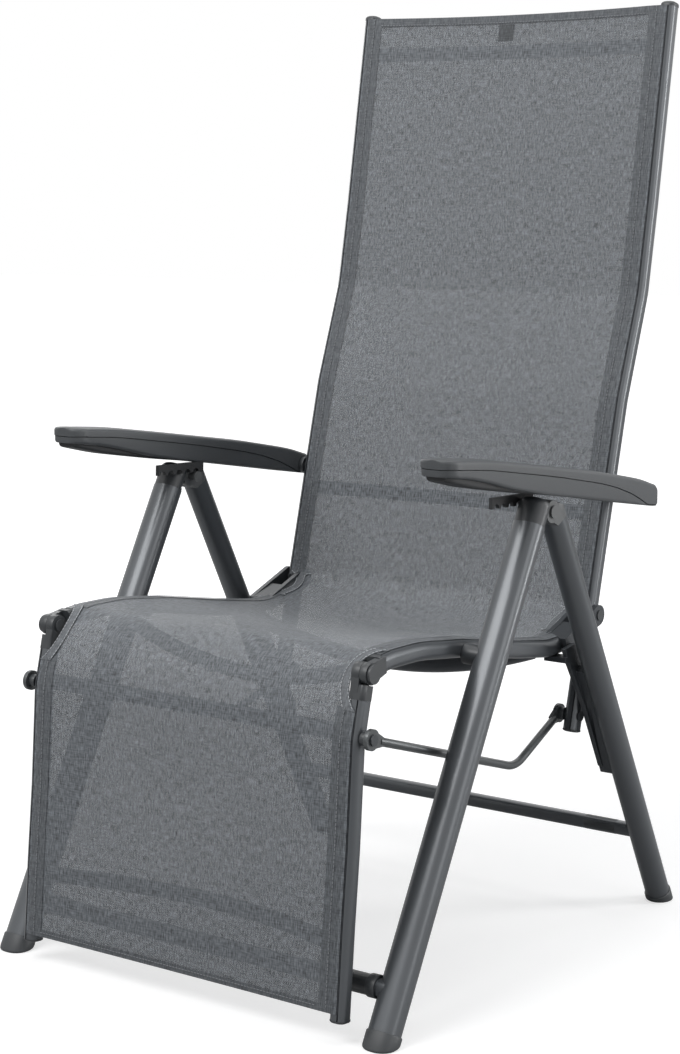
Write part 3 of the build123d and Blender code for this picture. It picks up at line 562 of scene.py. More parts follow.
@dataclass(frozen=True)
class Weave:
    """The plain weave that all cloths of the sling share.

    A thread is the absolute sine of the flat coordinate over its pitch. Warp and weft lie on
    top by turns, a hole is where both are low, and long thin noise makes the slubs. The height
    of the thread on top also goes into the tone as painted shade: crests lighter, dips darker.

    Attributes:
        pitches: Thread spacing of the warp, which runs along the chair, and of the weft.
        opening: Width of the holes as a share of a thread wave, where a cloth sets none.
        hole_stretch: How much longer than wide a hole is.
        warp_streak: Noise scales across and along, for slubs in the warp.
        weft_streak: Noise scales across and along, for slubs in the weft.
        streak_roughness: Roughness of that noise.
        slub_shares: Weights of the slubs in the warp, in the weft, and of soft clouds.
        cloud_scale: Noise scale of the clouds.
        thread_share: Weight of the threads' height in the tone, painted shade of their roundness.
        slub_gain: Contrast of the slubs.
        tone_shift: Taken off, so that the tone lies about the middle.
    """

    pitches: Point = (0.00092, 0.00084)
    opening: float = 0.3
    hole_stretch: float = 1.9
    warp_streak: Point = (680.0, 105.0)
    weft_streak: Point = (65.0, 620.0)
    streak_roughness: float = 0.6
    slub_shares: Colour = (1.15, 0.60, 0.06)
    cloud_scale: float = 14.0
    thread_share: float = 0.25
    slub_gain: float = 1.75
    tone_shift: float = 1.29

    def group(self) -> bpy.types.NodeTree:
        """Build the group: its Tone is the threads' height as painted shade, and the slubs,
        weighted and shifted.

        Returns:
            The group, built once and shared, with a Tone, a Cover (0 in a hole) and a Height.
        """
        known = bpy.data.node_groups.get("Open weave")
        if known:
            return known
        group = Group("Open weave", {"Warp Pitch": self.pitches[0], "Weft Pitch": self.pitches[1],
                                     "Opening": self.opening},
                      {"Tone": "Float", "Cover": "Float", "Height": "Float"})
        nodes = group.nodes
        cloth = nodes.add("UVMap", uv_map="Cloth").outputs[0]
        flat = nodes.add("SeparateXYZ", vector=cloth).outputs
        across = nodes.math("DIVIDE", flat[0], group.inputs["Warp Pitch"])
        along = nodes.math("DIVIDE", flat[1], group.inputs["Weft Pitch"])
        waves = (nodes.math("SINE", nodes.math("MULTIPLY", way, math.pi))
                 for way in (across, along))
        warp, weft = (nodes.math("ABSOLUTE", wave) for wave in waves)
        square = nodes.math("ADD", nodes.math("FLOOR", across), nodes.math("FLOOR", along))
        parity = nodes.math("PINGPONG", square, 1.0)
        under = nodes.math("MULTIPLY", weft, nodes.math("SUBTRACT", 1.0, parity))
        high = nodes.math("MAXIMUM", nodes.math("MULTIPLY", warp, parity), under)
        opening = group.inputs["Opening"]
        longer = nodes.math("MULTIPLY", opening, self.hole_stretch)
        hole = nodes.math("MULTIPLY", nodes.math("LESS_THAN", warp, opening),
                          nodes.math("LESS_THAN", weft, longer))
        slubs = [self.streak(nodes, flat, scale) for scale in (self.warp_streak, self.weft_streak)]
        slubs.append(nodes.add("TexNoise", vector=cloth, scale=self.cloud_scale, detail=2.0))
        parts = [nodes.math("MULTIPLY", noise.outputs["Fac"], share)
                 for noise, share in zip(slubs, self.slub_shares)]
        slub = nodes.math("ADD", nodes.math("ADD", parts[0], parts[1]), parts[2])
        # The threads' height in the tone is painted shade: crests lighter, dips by the holes
        # darker.
        tone = nodes.math("ADD", nodes.math("MULTIPLY", high, self.thread_share),
                          nodes.math("MULTIPLY", slub, self.slub_gain))
        nodes.feed(group.outputs["Tone"], nodes.math("SUBTRACT", tone, self.tone_shift))
        nodes.feed(group.outputs["Cover"], nodes.math("SUBTRACT", 1.0, hole))
        nodes.feed(group.outputs["Height"], high)
        return group.tree

    def streak(self, nodes: Nodes, flat: bpy.types.bpy_prop_collection,
               scales: Point) -> bpy.types.Node:
        """Add noise that is drawn out along one set of threads.

        Args:
            nodes: The group's nodes.
            flat: The flat coordinates' own sockets.
            scales: Noise scales across and along.

        Returns:
            The noise node.
        """
        drawn = nodes.add("CombineXYZ", x=nodes.math("MULTIPLY", flat[0], scales[0]),
                          y=nodes.math("MULTIPLY", flat[1], scales[1]))
        return nodes.add("TexNoise", vector=drawn.outputs[0], scale=1.0, detail=1.0,
                         roughness=self.streak_roughness)


@dataclass(frozen=True)
class MeshCloth(Look):
    """A woven cloth of the sling.

    Attributes:
        opening: Width of the holes as a share of a thread wave; 0 closes the cloth.
        roughness: Surface roughness.
        gloss: Strength of the threads' reflection.
        sheen: Weight of the soft sheen at a slant.
        bump: Strength of the relief.
        relief: Height of the threads.
    """

    opening: float = 0.0
    roughness: float = 0.55
    gloss: float = 0.35
    sheen: float = 0.12
    bump: float = 0.35
    relief: float = 0.0003

    def values(self, nodes: Nodes) -> dict[str, object]:
        """Add the weave and work out the shader's values; an open cloth is clear in its holes.

        Args:
            nodes: The material's nodes.

        Returns:
            The values by the name of the shader's inputs.
        """
        weave = nodes.add("Group", node_tree=Weave().group())
        nodes.wire(weave, {"Opening": self.opening})
        bump = nodes.add("Bump", strength=self.bump, distance=self.relief,
                         height=weave.outputs["Height"])
        values = {"Roughness": self.roughness, "Specular IOR Level": self.gloss,
                  "Sheen Weight": self.sheen, "Normal": bump.outputs["Normal"],
                  "Base Color": nodes.tint(weave.outputs["Tone"], self.dark, self.light)}
        if self.opening > 0.0:
            values["Alpha"] = weave.outputs["Cover"]
        return values


POWDER = Finish("Anthracite powder coat", (0.074, 0.080, 0.087), (0.100, 0.108, 0.117),
                metallic=0.42, roughness=0.35, grain=2600.0, depth=0.05, coat=0.3)
ROD_PAINT = Finish("Rod powder coat", (0.062, 0.067, 0.070), (0.088, 0.094, 0.098),
                   metallic=0.4, roughness=0.38, grain=2400.0, depth=0.05, coat=0.2)
CAST = Finish("Cast bracket paint", (0.036, 0.040, 0.045), (0.058, 0.064, 0.071),
              metallic=0.45, roughness=0.36, grain=2200.0, depth=0.08, coat=0.2)
RACK_PAINT_AND_SHADE = Finish("Rack paint", (0.010, 0.011, 0.012), (0.016, 0.017, 0.019),
                    metallic=0.0, roughness=0.6, grain=1800.0, depth=0.06)
MOULDED = Finish("Dark moulded plastic", (0.030, 0.033, 0.036), (0.044, 0.048, 0.052),
                 metallic=0.0, roughness=0.42, grain=1500.0, depth=0.10)
ARM_PLASTIC = Finish("Grained armrest plastic", (0.048, 0.052, 0.056), (0.065, 0.070, 0.075),
                     metallic=0.0, roughness=0.46, grain=1300.0, depth=0.16)
CAP_PLASTIC = Finish("Foot cap plastic", (0.036, 0.039, 0.042), (0.050, 0.054, 0.058),
                     metallic=0.0, roughness=0.50, grain=1200.0, depth=0.12)
PALE_PLASTIC = Finish("Pale pivot plastic", (0.088, 0.092, 0.094), (0.114, 0.118, 0.120),
                      metallic=0.0, roughness=0.40, grain=1500.0, depth=0.06)
THREAD = Finish("Sewing thread", (0.20, 0.21, 0.225), (0.28, 0.295, 0.31),
                metallic=0.0, roughness=0.6, grain=2000.0, depth=0.2)
PALE_THREAD = Finish("Pale sewing thread", (0.42, 0.44, 0.46), (0.56, 0.58, 0.60),
                     metallic=0.0, roughness=0.6, grain=2000.0, depth=0.2)
SLING = MeshCloth("Open sling mesh", (0.052, 0.057, 0.062), (0.212, 0.230, 0.252), opening=0.212)
HEM = MeshCloth("Doubled sling mesh", (0.050, 0.055, 0.061), (0.150, 0.162, 0.175))
TAG_CLOTH = MeshCloth("Blank tag weave", (0.030, 0.033, 0.036), (0.095, 0.103, 0.112))
BINDING = MeshCloth("Binding tape", (0.075, 0.081, 0.088), (0.185, 0.198, 0.213))


def dress(piece: bpy.types.Object, finish: Look) -> None:
    """Give a piece one finish all over."""
    piece.data.materials.clear()
    piece.data.materials.append(finish.material())


def place(piece: bpy.types.Object, body: Body, finish: Look, slot: str, *nodes: str) -> None:
    """Dress a new piece, let it ride on its body and stand for CAD nodes.

    Args:
        piece: The new piece.
        body: The body it moves with.
        finish: What it is made of.
        slot: Material slot of the record; not used.
        *nodes: CAD nodes that it stands for.
    """
    dress(piece, finish)
    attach(piece, body.value)
    if nodes:
        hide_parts(*nodes)
    LOG.info("%s rides on %s", piece.name, body.value)


# ---------------------------------------------------------------- legs


@dataclass(frozen=True)
class LegPair:
    """A pair of straight leg tubes.

    Attributes:
        word: Which pair it is, as its pieces' names say.
        body: Body that it rides on.
        foot_y: Side view Y where the legs' axis meets the floor.
        slope: How far the legs lean back per unit of height.
        length: Length of the axis from the floor to the tubes' upper ends.
        profile: Outline of the tubes.
    """

    word: str
    body: Body
    foot_y: float
    slope: float
    length: float
    profile: np.ndarray

    @property
    def way(self) -> np.ndarray:
        """Return the upward direction of the legs."""
        return unit(np.array((0.0, self.slope, 1.0)))


@dataclass(frozen=True)
class Legs:
    """Front and rear legs with their floor caps and low crossbars.

    Attributes:
        plane: The side view.
        leg_x: Distance of the legs from the middle.
        front_size: Width and depth of the flattened front tubes.
        front_power: How flat their sides are.
        front_slope: Lean of the front legs.
        front_length: Length of the front tubes from the floor.
        rear_diameter: Diameter of the round rear tubes.
        rear_foot_y: Side view Y of the rear feet.
        rear_slope: Lean of the rear legs.
        rear_length: Length of the rear tubes from the floor.
        tube_start: Where a tube starts inside its floor cap.
        sleeve: Wall of a floor cap.
        cap_height: Height of a floor cap along the leg.
        cap_round: Radius of its lower edge.
        cap_rim: (inset, rise) of each ring of its bevelled upper edge.
        front_bar: Side view point of the front legs' crossbar.
        front_bar_radius: Its half thickness.
        rear_bar: Side view point of the rear legs' crossbar.
        rear_bar_radius: Its half thickness.
        bar_power: How square the crossbars are.
        bar_stop: How far they stop short of the legs' middle, as a share of the rear diameter.
        spacings: Longest stretch between the rings of a tube, and of a crossbar.
    """

    plane: SidePlane
    leg_x: float = 0.275
    front_size: Point = (0.039, 0.031)
    front_power: float = 2.25
    front_slope: float = 0.55
    front_length: float = 0.6185
    rear_diameter: float = 0.0315
    rear_foot_y: float = 0.642
    rear_slope: float = -0.53
    rear_length: float = 0.61725
    tube_start: float = 0.012
    sleeve: float = 0.0016
    cap_height: float = 0.016
    cap_round: float = 0.0035
    cap_rim: tuple[Point, ...] = ((0.0, -0.0012), (0.0006, 0.0), (0.0014, 0.0002), (0.00128, 0.0))
    front_bar: Point = (0.027, 0.057)
    front_bar_radius: float = 0.010
    rear_bar: Point = (0.585, 0.106)
    rear_bar_radius: float = 0.0088
    bar_power: float = 2.9
    bar_stop: float = 0.25
    spacings: Point = (0.05, 0.06)

    def tube(self, name: str, side: Side, pair: LegPair) -> bpy.types.Object:
        """Build one straight leg tube along the legs' upward direction.

        Args:
            name: Name of the piece.
            side: Which side of the chair.
            pair: The legs that it belongs to.

        Returns:
            The tube.
        """
        foot = self.plane.at(side.value * self.leg_x, (pair.foot_y, 0.0))
        path = np.array([foot + pair.way * self.tube_start, foot + pair.way * pair.length])
        return sweep(name, resampled(path, self.spacings[0]), pair.profile)

    def cap(self, name: str, side: Side, pair: LegPair) -> bpy.types.Object:
        """Build a floor cap: a sleeve round the tube, cut level with the floor, rounded below.

        Each ring is the tube's outline, grown by the sleeve and drawn in by the inset that the
        rounding has there, slid down the leg's axis to the height of that ring over the floor.

        Args:
            name: Name of the piece.
            side: Which side of the chair.
            pair: The legs that it belongs to.

        Returns:
            The cap.
        """
        foot = self.plane.at(side.value * self.leg_x, (pair.foot_y, 0.0))
        grown = pair.profile * (1.0 + self.sleeve / np.abs(pair.profile).max())
        outline = grown[:, :1] * X_AXIS + grown[:, 1:] * np.cross(pair.way, X_AXIS)
        widest = np.abs(grown).max()
        rings = []
        for turn in np.linspace(0.0, QUARTER, 7):
            inset = self.cap_round * (1.0 - math.sin(turn))
            lift = self.cap_round * (1.0 - math.cos(turn))
            flat = foot + outline * (1.0 - inset / widest)
            rings.append(flat - (flat[:, 2:] - lift) / pair.way[2] * pair.way)
        for inset, rise in self.cap_rim:
            middle = foot + pair.way * (self.cap_height + rise)
            rings.append(middle + outline * (1.0 - inset / widest))
        return build_mesh(name, np.vstack(rings), tube_faces(len(rings), len(grown)), 50.0)

    def low_bar(self, name: str, point: Point, radius: float, body: Body, node: str) -> None:
        """Build one straight crossbar that ends in the leg tubes.

        Args:
            name: Name of the piece.
            point: Its place in the side view.
            radius: Its half thickness.
            body: Body that it rides on.
            node: CAD node that it stands for.
        """
        half = self.leg_x - self.bar_stop * self.rear_diameter
        path = np.array([self.plane.at(-half, point), self.plane.at(half, point)])
        outline = oval_profile(2.0 * radius, 2.0 * radius, self.bar_power, count=64)
        bar = sweep(name, resampled(path, self.spacings[1]), outline, Y_AXIS)
        place(bar, body, POWDER, "bars", node)

    def build(self) -> None:
        """Build the tubes, caps and crossbars of both sides."""
        pairs = (LegPair("front", Body.FRAME, 0.0, self.front_slope, self.front_length,
                         oval_profile(*self.front_size, self.front_power, count=96)),
                 LegPair("rear", Body.REAR, self.rear_foot_y, self.rear_slope, self.rear_length,
                         oval_profile(self.rear_diameter, self.rear_diameter)))
        for side in Side:
            for pair in pairs:
                tube = self.tube(f"{pair.word}_leg_tube_{side.word}", side, pair)
                place(tube, pair.body, POWDER, "legs", f"{pair.word}_leg_{side.word}")
            for pair in pairs:
                cap = self.cap(f"{pair.word}_cap_{side.word}", side, pair)
                place(cap, pair.body, CAP_PLASTIC, "feet", f"{pair.word}_foot_{side.word}")
        self.low_bar("front_low_bar", self.front_bar, self.front_bar_radius, Body.FRAME,
                     "front_crossbar")
        self.low_bar("rear_low_bar", self.rear_bar, self.rear_bar_radius, Body.REAR,
                     "rear_crossbar")


# ---------------------------------------------------------------- rails and crossbars


@dataclass(frozen=True)
class RailLine:
    """Centreline of one pair of side rails in the side view.

    Attributes:
        points: Corners from the end nearer the top of the back to the end nearer the foot.
        bend: Bend radius at the corners.
    """

    points: tuple[Point, ...]
    bend: float

    def curve(self, plane: SidePlane, x: float, spacing: float = 0.03) -> np.ndarray:
        """Return the bent centreline in the frame."""
        return resampled(rounded_path(plane.line(x, np.array(self.points)), self.bend), spacing)

    def offset(self, distance: float, spacing: float = 0.008) -> np.ndarray:
        """Shift the bent centreline towards the sitter, square to its direction.

        Args:
            distance: How far.
            spacing: Longest stretch between two points.

        Returns:
            Side view points, one row each.
        """
        line = resampled(rounded_path(np.array(self.points), self.bend), spacing)
        ways = tangents(line)
        return line + distance * np.column_stack((ways[:, 1], -ways[:, 0]))


BACK_LINE = RailLine(((0.699, 1.157), (0.656, 0.908), (0.634, 0.795), (0.586, 0.663),
                      (0.480, 0.256)), 0.120)
SEAT_LINE = RailLine(((0.440, 0.3715), (0.413, 0.3705), (0.339, 0.382), (0.219, 0.404),
                      (0.134, 0.415), (0.077, 0.4157), (0.058, 0.414)), 0.300)
SHIN_LINE = RailLine(((0.0236, 0.379), (0.0128, 0.336), (0.0036, 0.215), (-0.0057, 0.127),
                      (-0.0148, 0.027)), 0.060)


@dataclass(frozen=True)
class Bar:
    """A crossbar between a pair of rails.

    Attributes:
        name: CAD node that it stands for.
        body: Body that it rides on.
        point: Side view point on the cloth's side of the place where it meets the rails.
        away: Side view direction away from the sitter.
        bow: Side view vector by which its middle bows out.
    """

    name: str
    body: Body
    point: Point
    away: Point
    bow: Point


BARS = (
    Bar("seat_front_bar", Body.FRAME, (0.133, 0.415), (0.0, -1.0), (0.0, -0.054)),
    Bar("seat_rear_bar", Body.FRAME, (0.399, 0.370), (0.0, -1.0), (0.0, -0.040)),
    Bar("back_upper_bar", Body.BACK, (0.6909, 1.110), (1.0, 0.0), (0.042, 0.0)),
    Bar("back_lower_bar", Body.BACK, (0.5487, 0.520), (1.0, 0.0), (0.013, 0.0)),
    Bar("footrest_upper_bar", Body.FOOTREST, (0.0155, 0.342), (1.0, 0.0), (0.0, 0.0)),
    Bar("footrest_lower_bar", Body.FOOTREST, (-0.0076, 0.107), (1.0, 0.0), (0.040, 0.0)),
)


@dataclass(frozen=True)
class Rails:
    """Nearly round side rails of seat, back and footrest, and the crossbars between them.

    Attributes:
        plane: The side view.
        rail_x: Distance of the rails from the middle.
        width: Width of a rail.
        depth: Depth of a rail in the side view.
        corner: Radius of its corners.
        groove_x: How far outside the rail's middle the groove for the hem lies.
        groove_radius: Radius of the round groove.
        groove_half: Half width of its mouth.
        groove_sink: How far the mouth's lips lie over the round part.
        groove_lips: How far the outer and the inner lip lie below the rail's face.
        bar_radius: Half thickness of a crossbar.
        bar_behind: How far the crossbars lie behind the points of their table.
        cap_lip: How far a plug stands out over the rail.
        cap_height: Height of the domes on top of the back.
        plug_height: Height of the other plugs.
        skirt_share: Share of that height below the dome.
        dome_power: Below 1 makes the dome fuller than a half ellipse.
        corner_points: Number of points on a corner of a rail, and on the groove's round part.
        bar_points: Number of rings of a crossbar.
        dome_rings: Number of rings of a dome.
    """

    plane: SidePlane
    rail_x: float = 0.231
    width: float = 0.020
    depth: float = 0.021
    corner: float = 0.0080
    groove_x: float = 0.0032
    groove_radius: float = 0.0015
    groove_half: float = 0.0009
    groove_sink: float = 0.0004
    groove_lips: Point = (0.0002, 0.0001)
    bar_radius: float = 0.0094
    bar_behind: float = 0.002
    cap_lip: float = 0.0005
    cap_height: float = 0.0068
    plug_height: float = 0.0038
    skirt_share: float = 0.3
    dome_power: float = 0.7
    corner_points: int = 13
    bar_points: int = 49
    dome_rings: int = 10

    def profile(self, side: Side, grooved: bool = True) -> np.ndarray:
        """Return the rail's outline: four corner arcs, and the groove open towards the sitter.

        Args:
            side: Which rail.
            grooved: False leaves the groove out.

        Returns:
            The outline, one point a row.
        """
        half = np.array((0.5 * self.width, 0.5 * self.depth))
        arcs = []
        for number, signs in enumerate(((1, 1), (-1, 1), (-1, -1), (1, -1))):
            turn = QUARTER * number + np.linspace(0.0, QUARTER, self.corner_points)
            round_off = self.corner * np.column_stack((np.cos(turn), np.sin(turn)))
            arcs.append(np.array(signs) * (half - self.corner) + round_off)
        if grooved:
            beside = arcs[0][:, 0] >= self.groove_x + self.groove_half
            arcs[0] = np.vstack((arcs[0][beside], self.groove(half[1])))
        outline = np.vstack(arcs)
        return outline if side is Side.LEFT else outline[::-1] * np.array((-1.0, 1.0))

    def groove(self, face: float) -> np.ndarray:
        """Draw the groove for the hem: a circle, open where its mouth cuts it, and two lips.

        Args:
            face: Distance of the rail's face towards the sitter from its middle.

        Returns:
            The points from the outer lip to the inner one, one row each.
        """
        edge = math.asin(self.groove_half / self.groove_radius)
        centre = face - self.groove_radius * math.cos(edge) - self.groove_sink
        share = np.arange(self.corner_points) / (self.corner_points - 1)
        turn = QUARTER - edge - (2.0 * math.pi - 2.0 * edge) * share
        bottom = np.column_stack((self.groove_x + self.groove_radius * np.cos(turn),
                                  centre + self.groove_radius * np.sin(turn)))
        outer, inner = self.groove_lips
        return np.vstack(((self.groove_x + self.groove_half, face - outer), bottom,
                          (self.groove_x - self.groove_half, face - inner)))

    def rail(self, name: str, line: RailLine, body: Body, node: str) -> None:
        """Build one rail on each side.

        Args:
            name: Start of the pieces' names.
            line: Centreline of the rails.
            body: Body that they ride on.
            node: Start of the names of the CAD nodes that they stand for.
        """
        for side in Side:
            path = line.curve(self.plane, side.value * self.rail_x)
            place(sweep(f"{name}_{side.word}", path, self.profile(side)), body, POWDER, "frame",
                  f"{node}_{side.word}")

    def bar(self, bar: Bar) -> None:
        """Build one crossbar, bowed out by a parabola between the rails.

        Args:
            bar: The crossbar.
        """
        share = np.linspace(-1.0, 1.0, self.bar_points)
        middle = np.array(bar.point) + self.bar_behind * np.array(bar.away)
        points = middle + (1.0 - share ** 2)[:, None] * np.array(bar.bow)
        path = self.plane.line((self.rail_x - 0.5 * self.width) * share, points)
        outline = oval_profile(2.0 * self.bar_radius, 2.0 * self.bar_radius, count=48)
        across = Y_AXIS if abs(bar.bow[1]) >= abs(bar.bow[0]) else Z_AXIS
        place(sweep(bar.name + "_tube", path, outline, across), bar.body, POWDER, "bars", bar.name)

    def domes(self, name: str, ends: tuple[Point, Point], height: float, body: Body,
              node: str) -> None:
        """Build the pair of domed plugs that close one end of a pair of rails.

        A plug is the rail's outline, grown by the lip: straight for the skirt, then drawn in by
        the cosine, to the dome's power, while it rises by the sine.

        Args:
            name: Name of the piece.
            ends: End of the rails' centreline in the side view, and the corner before it.
            height: Height of the plug over the rail's end.
            body: Body that the plugs ride on.
            node: CAD node that they stand for.
        """
        skirt = self.skirt_share * height
        turn = QUARTER * np.arange(self.dome_rings) / self.dome_rings
        scale = np.concatenate(((1.0, 1.0), np.cos(turn) ** self.dome_power))[:, None, None]
        rise = np.concatenate(((0.0, 0.5 * skirt), skirt + (height - skirt) * np.sin(turn)))
        rise = rise[:, None, None]
        verts: list[np.ndarray] = []
        faces: list[Face] = []
        for side in Side:
            outline = self.profile(side, grooved=False)
            start, before = (self.plane.at(side.value * self.rail_x, point) for point in ends)
            way = unit(start - before)
            lip = 1.0 + self.cap_lip / np.abs(outline).max()
            flat = outline[:, :1] * X_AXIS + outline[:, 1:] * np.cross(-way, X_AXIS)
            closed = tube_faces(len(rise), len(outline), base=sum(len(part) for part in verts))
            faces.extend(tuple(reversed(face)) for face in closed)
            verts.append((start + way * rise + lip * scale * flat).reshape(-1, 3))
        place(build_mesh(name, np.vstack(verts), faces, 50.0), body, MOULDED, "fittings", node)

    def build(self) -> None:
        """Build all rails, their end plugs and the crossbars."""
        self.rail("seat_side_rail", SEAT_LINE, Body.FRAME, "seat_rail")
        self.rail("back_side_rail", BACK_LINE, Body.BACK, "back_rail")
        self.rail("footrest_side_rail", SHIN_LINE, Body.FOOTREST, "footrest_rail")
        back = BACK_LINE.points
        shin = SHIN_LINE.points
        self.domes("back_top_domes", back[:2], self.cap_height, Body.BACK, "back_caps")
        self.domes("back_bottom_domes", back[:-3:-1], self.plug_height, Body.BACK, "back_plugs")
        self.domes("footrest_bottom_domes", shin[:-3:-1], self.plug_height, Body.FOOTREST,
                   "footrest_plugs")
        for bar in BARS:
            self.bar(bar)


# ---------------------------------------------------------------- sling


@dataclass(frozen=True)
class Notch:
    """A round cut-out in both edges of the cloth.

    Attributes:
        run: Running length of its middle.
        centre_x: Distance of the circle's middle from the chair's middle.
        radius: Radius of the circle.
        least_chord: Least half chord that a tape's slant counts with, as a share of the radius.
    """

    run: float
    centre_x: float
    radius: float
    least_chord: float = 0.3

    def reach(self, edge: float) -> float:
        """Return how far the cut-out runs along the cloth at the straight edge."""
        return math.sqrt(self.radius ** 2 - (self.centre_x - edge) ** 2)

    def edge(self, run: np.ndarray, straight: float) -> np.ndarray:
        """Return the half width that the circle leaves: its middle less the half chord there.

        Args:
            run: Running lengths.
            straight: Half width of the cloth without the cut-out.

        Returns:
            The half width at each running length.
        """
        inside = np.maximum(self.radius ** 2 - (run - self.run) ** 2, 0.0)
        cut = np.abs(run - self.run) < self.reach(straight)
        return np.where(cut, self.centre_x - np.sqrt(inside), straight)

    def slant(self, run: np.ndarray) -> np.ndarray:
        """Return how much wider a tape along the circle is straight across: radius / half chord."""
        least = (self.least_chord * self.radius) ** 2
        return self.radius / np.sqrt(np.maximum(self.radius ** 2 - (run - self.run) ** 2, least))


@dataclass(frozen=True)
class Half:
    """One of the two cloths of the sling.

    Attributes:
        word: Ending of the names of its pieces.
        start: Running length where it starts.
        end: Running length where it ends.
        notch: Its cut-out.
        bodies: The bodies that it spans; not used.
        bend: Side view points where it leaves the first body and where it joins the second.
        hem: Running lengths between which the hem of its free end lies.
        seam: Running length of the stitches of that hem.
        nodes: CAD nodes that it stands for.
        rails: Rails that hold it.
    """

    word: str
    start: float
    end: float
    notch: Notch
    bodies: tuple[Body, Body]
    bend: tuple[Point, Point]
    hem: Point
    seam: float
    nodes: tuple[str, str]
    rails: tuple[str, ...]

    @property
    def holders(self) -> list[str]:
        """Return the names of the rails on both sides."""
        return [f"{rail}_{side.word}" for rail in self.rails for side in Side]


@dataclass(frozen=True)
class Sling:
    """The stretched mesh: one length of cloth from the top of the back to the foot of the footrest.

    Attributes:
        plane: The side view.
        edge_x: Half width of the cloth.
        flat_x: Distance from the middle up to which the cloth gives.
        over_rail: Height of the cloth over the rails' centreline.
        back_end: Side view height down to which the cloth follows the back rails.
        seat_span: Side view Y between which it follows the seat rails.
        shin_span: Side view heights between which it follows the footrest rails.
        corner_ways: Directions of the curve from back to seat at its ends, and its pull.
        knee_ways: The same for the curve from seat to footrest.
        sag_runs: Shares of the running length at which the sag is given.
        sags: How far the middle of the cloth gives there.
        meet: Side view point where the two cloths meet under the sitter.
        rear_notch: Side view middle, circle middle and radius of the cut-outs at the brackets.
        front_notch: The same for the cut-outs at the front hinges.
        hem: Width of the side hems.
        hem_over: How far they stand out over the edge.
        hem_dive: How far each column of a hem sinks into the rail's groove.
        hem_stop: How far they run into a cut-out.
        hem_seam: Place of their stitches, as a share of their width from the edge.
        top_hem: Width and share at the seam of the hem on top of the back.
        bottom_hem: The same for the hem at the foot.
        lift: Thickness of one more layer of cloth.
        tape: Width of the tape round a cut-out.
        tape_over: How far it stands out over the cut edge.
        tape_seams: Places of its two rows of stitches, as shares of its width.
        tag_x: Sides of the blank tag.
        tag_ends: Side view points of its upper and lower edge.
        tag_lift: Its height over the cloth.
        stitch_length: Length of a stitch.
        stitch_gap: Gap between two stitches.
        stitch_radius: Half thickness of the thread.
        stitch_lifts: Height of the hems' and the tapes' stitches over the layers below.
        stitch_places: Places along a stitch where it has a ring of points, as shares.
        stitch_sizes: Thickness there, as a share.
        stitch_sides: Number of points in such a ring.
        even_steps: Number of points along the whole length of the cloth.
        cloth_grid: Numbers of rows and columns of points in one of the two cloths.
        hem_rows: Number of rows in a side hem.
        tape_grid: Rows and columns of the tape round a cut-out.
        end_grid: Rows and columns of a hem across the cloth.
        tag_grid: Rows and columns of the tag.
        least_hem: A side hem that would be shorter is left out.
    """

    plane: SidePlane
    edge_x: float = 0.2330
    flat_x: float = 0.2110
    over_rail: float = 0.0112
    back_end: float = 0.408
    seat_span: Point = (0.082, 0.438)
    shin_span: Point = (0.029, 0.346)
    corner_ways: tuple[Point, Point, float] = ((-0.252, -0.967), (-1.0, -0.02), 0.062)
    knee_ways: tuple[Point, Point, float] = ((-1.0, 0.0), (-0.20, -0.98), 0.135)
    sag_runs: tuple[float, ...] = (0.0, 0.10, 0.45, 0.62, 0.66, 0.745, 0.80, 1.0)
    sags: tuple[float, ...] = (0.014, 0.013, 0.014, 0.016, 0.012, 0.003, 0.0018, 0.0018)
    meet: Point = (0.275, 0.405)
    rear_notch: tuple[Point, float, float] = ((0.482, 0.390), 0.2411, 0.0311)
    front_notch: tuple[Point, float, float] = ((0.033, 0.406), 0.2749, 0.0604)
    hem: float = 0.0245
    hem_over: float = 0.0008
    hem_dive: tuple[float, ...] = (0.0, 0.0, 0.0, 0.0, -0.0004, -0.0022)
    hem_stop: float = 0.004
    hem_seam: float = 0.55
    top_hem: Point = (0.0115, 0.85)
    bottom_hem: Point = (0.0090, 0.62)
    lift: float = 0.0007
    tape: float = 0.0115
    tape_over: float = 0.0004
    tape_seams: Point = (0.10, 0.93)
    tag_x: Point = (-0.0245, -0.0010)
    tag_ends: tuple[Point, Point] = ((0.688, 1.1445), (0.684, 1.1240))
    tag_lift: float = 0.0005
    stitch_length: float = 0.0034
    stitch_gap: float = 0.0012
    stitch_radius: float = 0.00048
    stitch_lifts: Point = (0.0003, 0.0004)
    stitch_places: tuple[float, ...] = (0.0, 0.12, 0.5, 0.88, 1.0)
    stitch_sizes: tuple[float, ...] = (0.3, 0.9, 1.0, 0.9, 0.3)
    stitch_sides: int = 6
    even_steps: int = 521
    cloth_grid: tuple[int, int] = (301, 67)
    hem_rows: int = 181
    tape_grid: tuple[int, int] = (121, 5)
    end_grid: tuple[int, int] = (5, 61)
    tag_grid: tuple[int, int] = (13, 13)
    least_hem: float = 0.01

    def centreline(self) -> np.ndarray:
        """Follow the three rails at the cloth's height, joined by two smooth curves.

        Returns:
            The side view path of the cloth over the rails, from the top to the bottom hem.
        """
        lines = (BACK_LINE, SEAT_LINE, SHIN_LINE)
        back, seat, shin = (line.offset(self.over_rail) for line in lines)
        back = back[back[:, 1] > self.back_end]
        seat = seat[(seat[:, 0] > self.seat_span[0]) & (seat[:, 0] < self.seat_span[1])]
        shin = shin[(shin[:, 1] > self.shin_span[0]) & (shin[:, 1] < self.shin_span[1])]
        corner = hermite(back[-1], seat[0], self.corner_ways[:2], self.corner_ways[2])
        knee = hermite(seat[-1], shin[0], self.knee_ways[:2], self.knee_ways[2])
        return np.vstack((back, corner, seat, knee, shin))

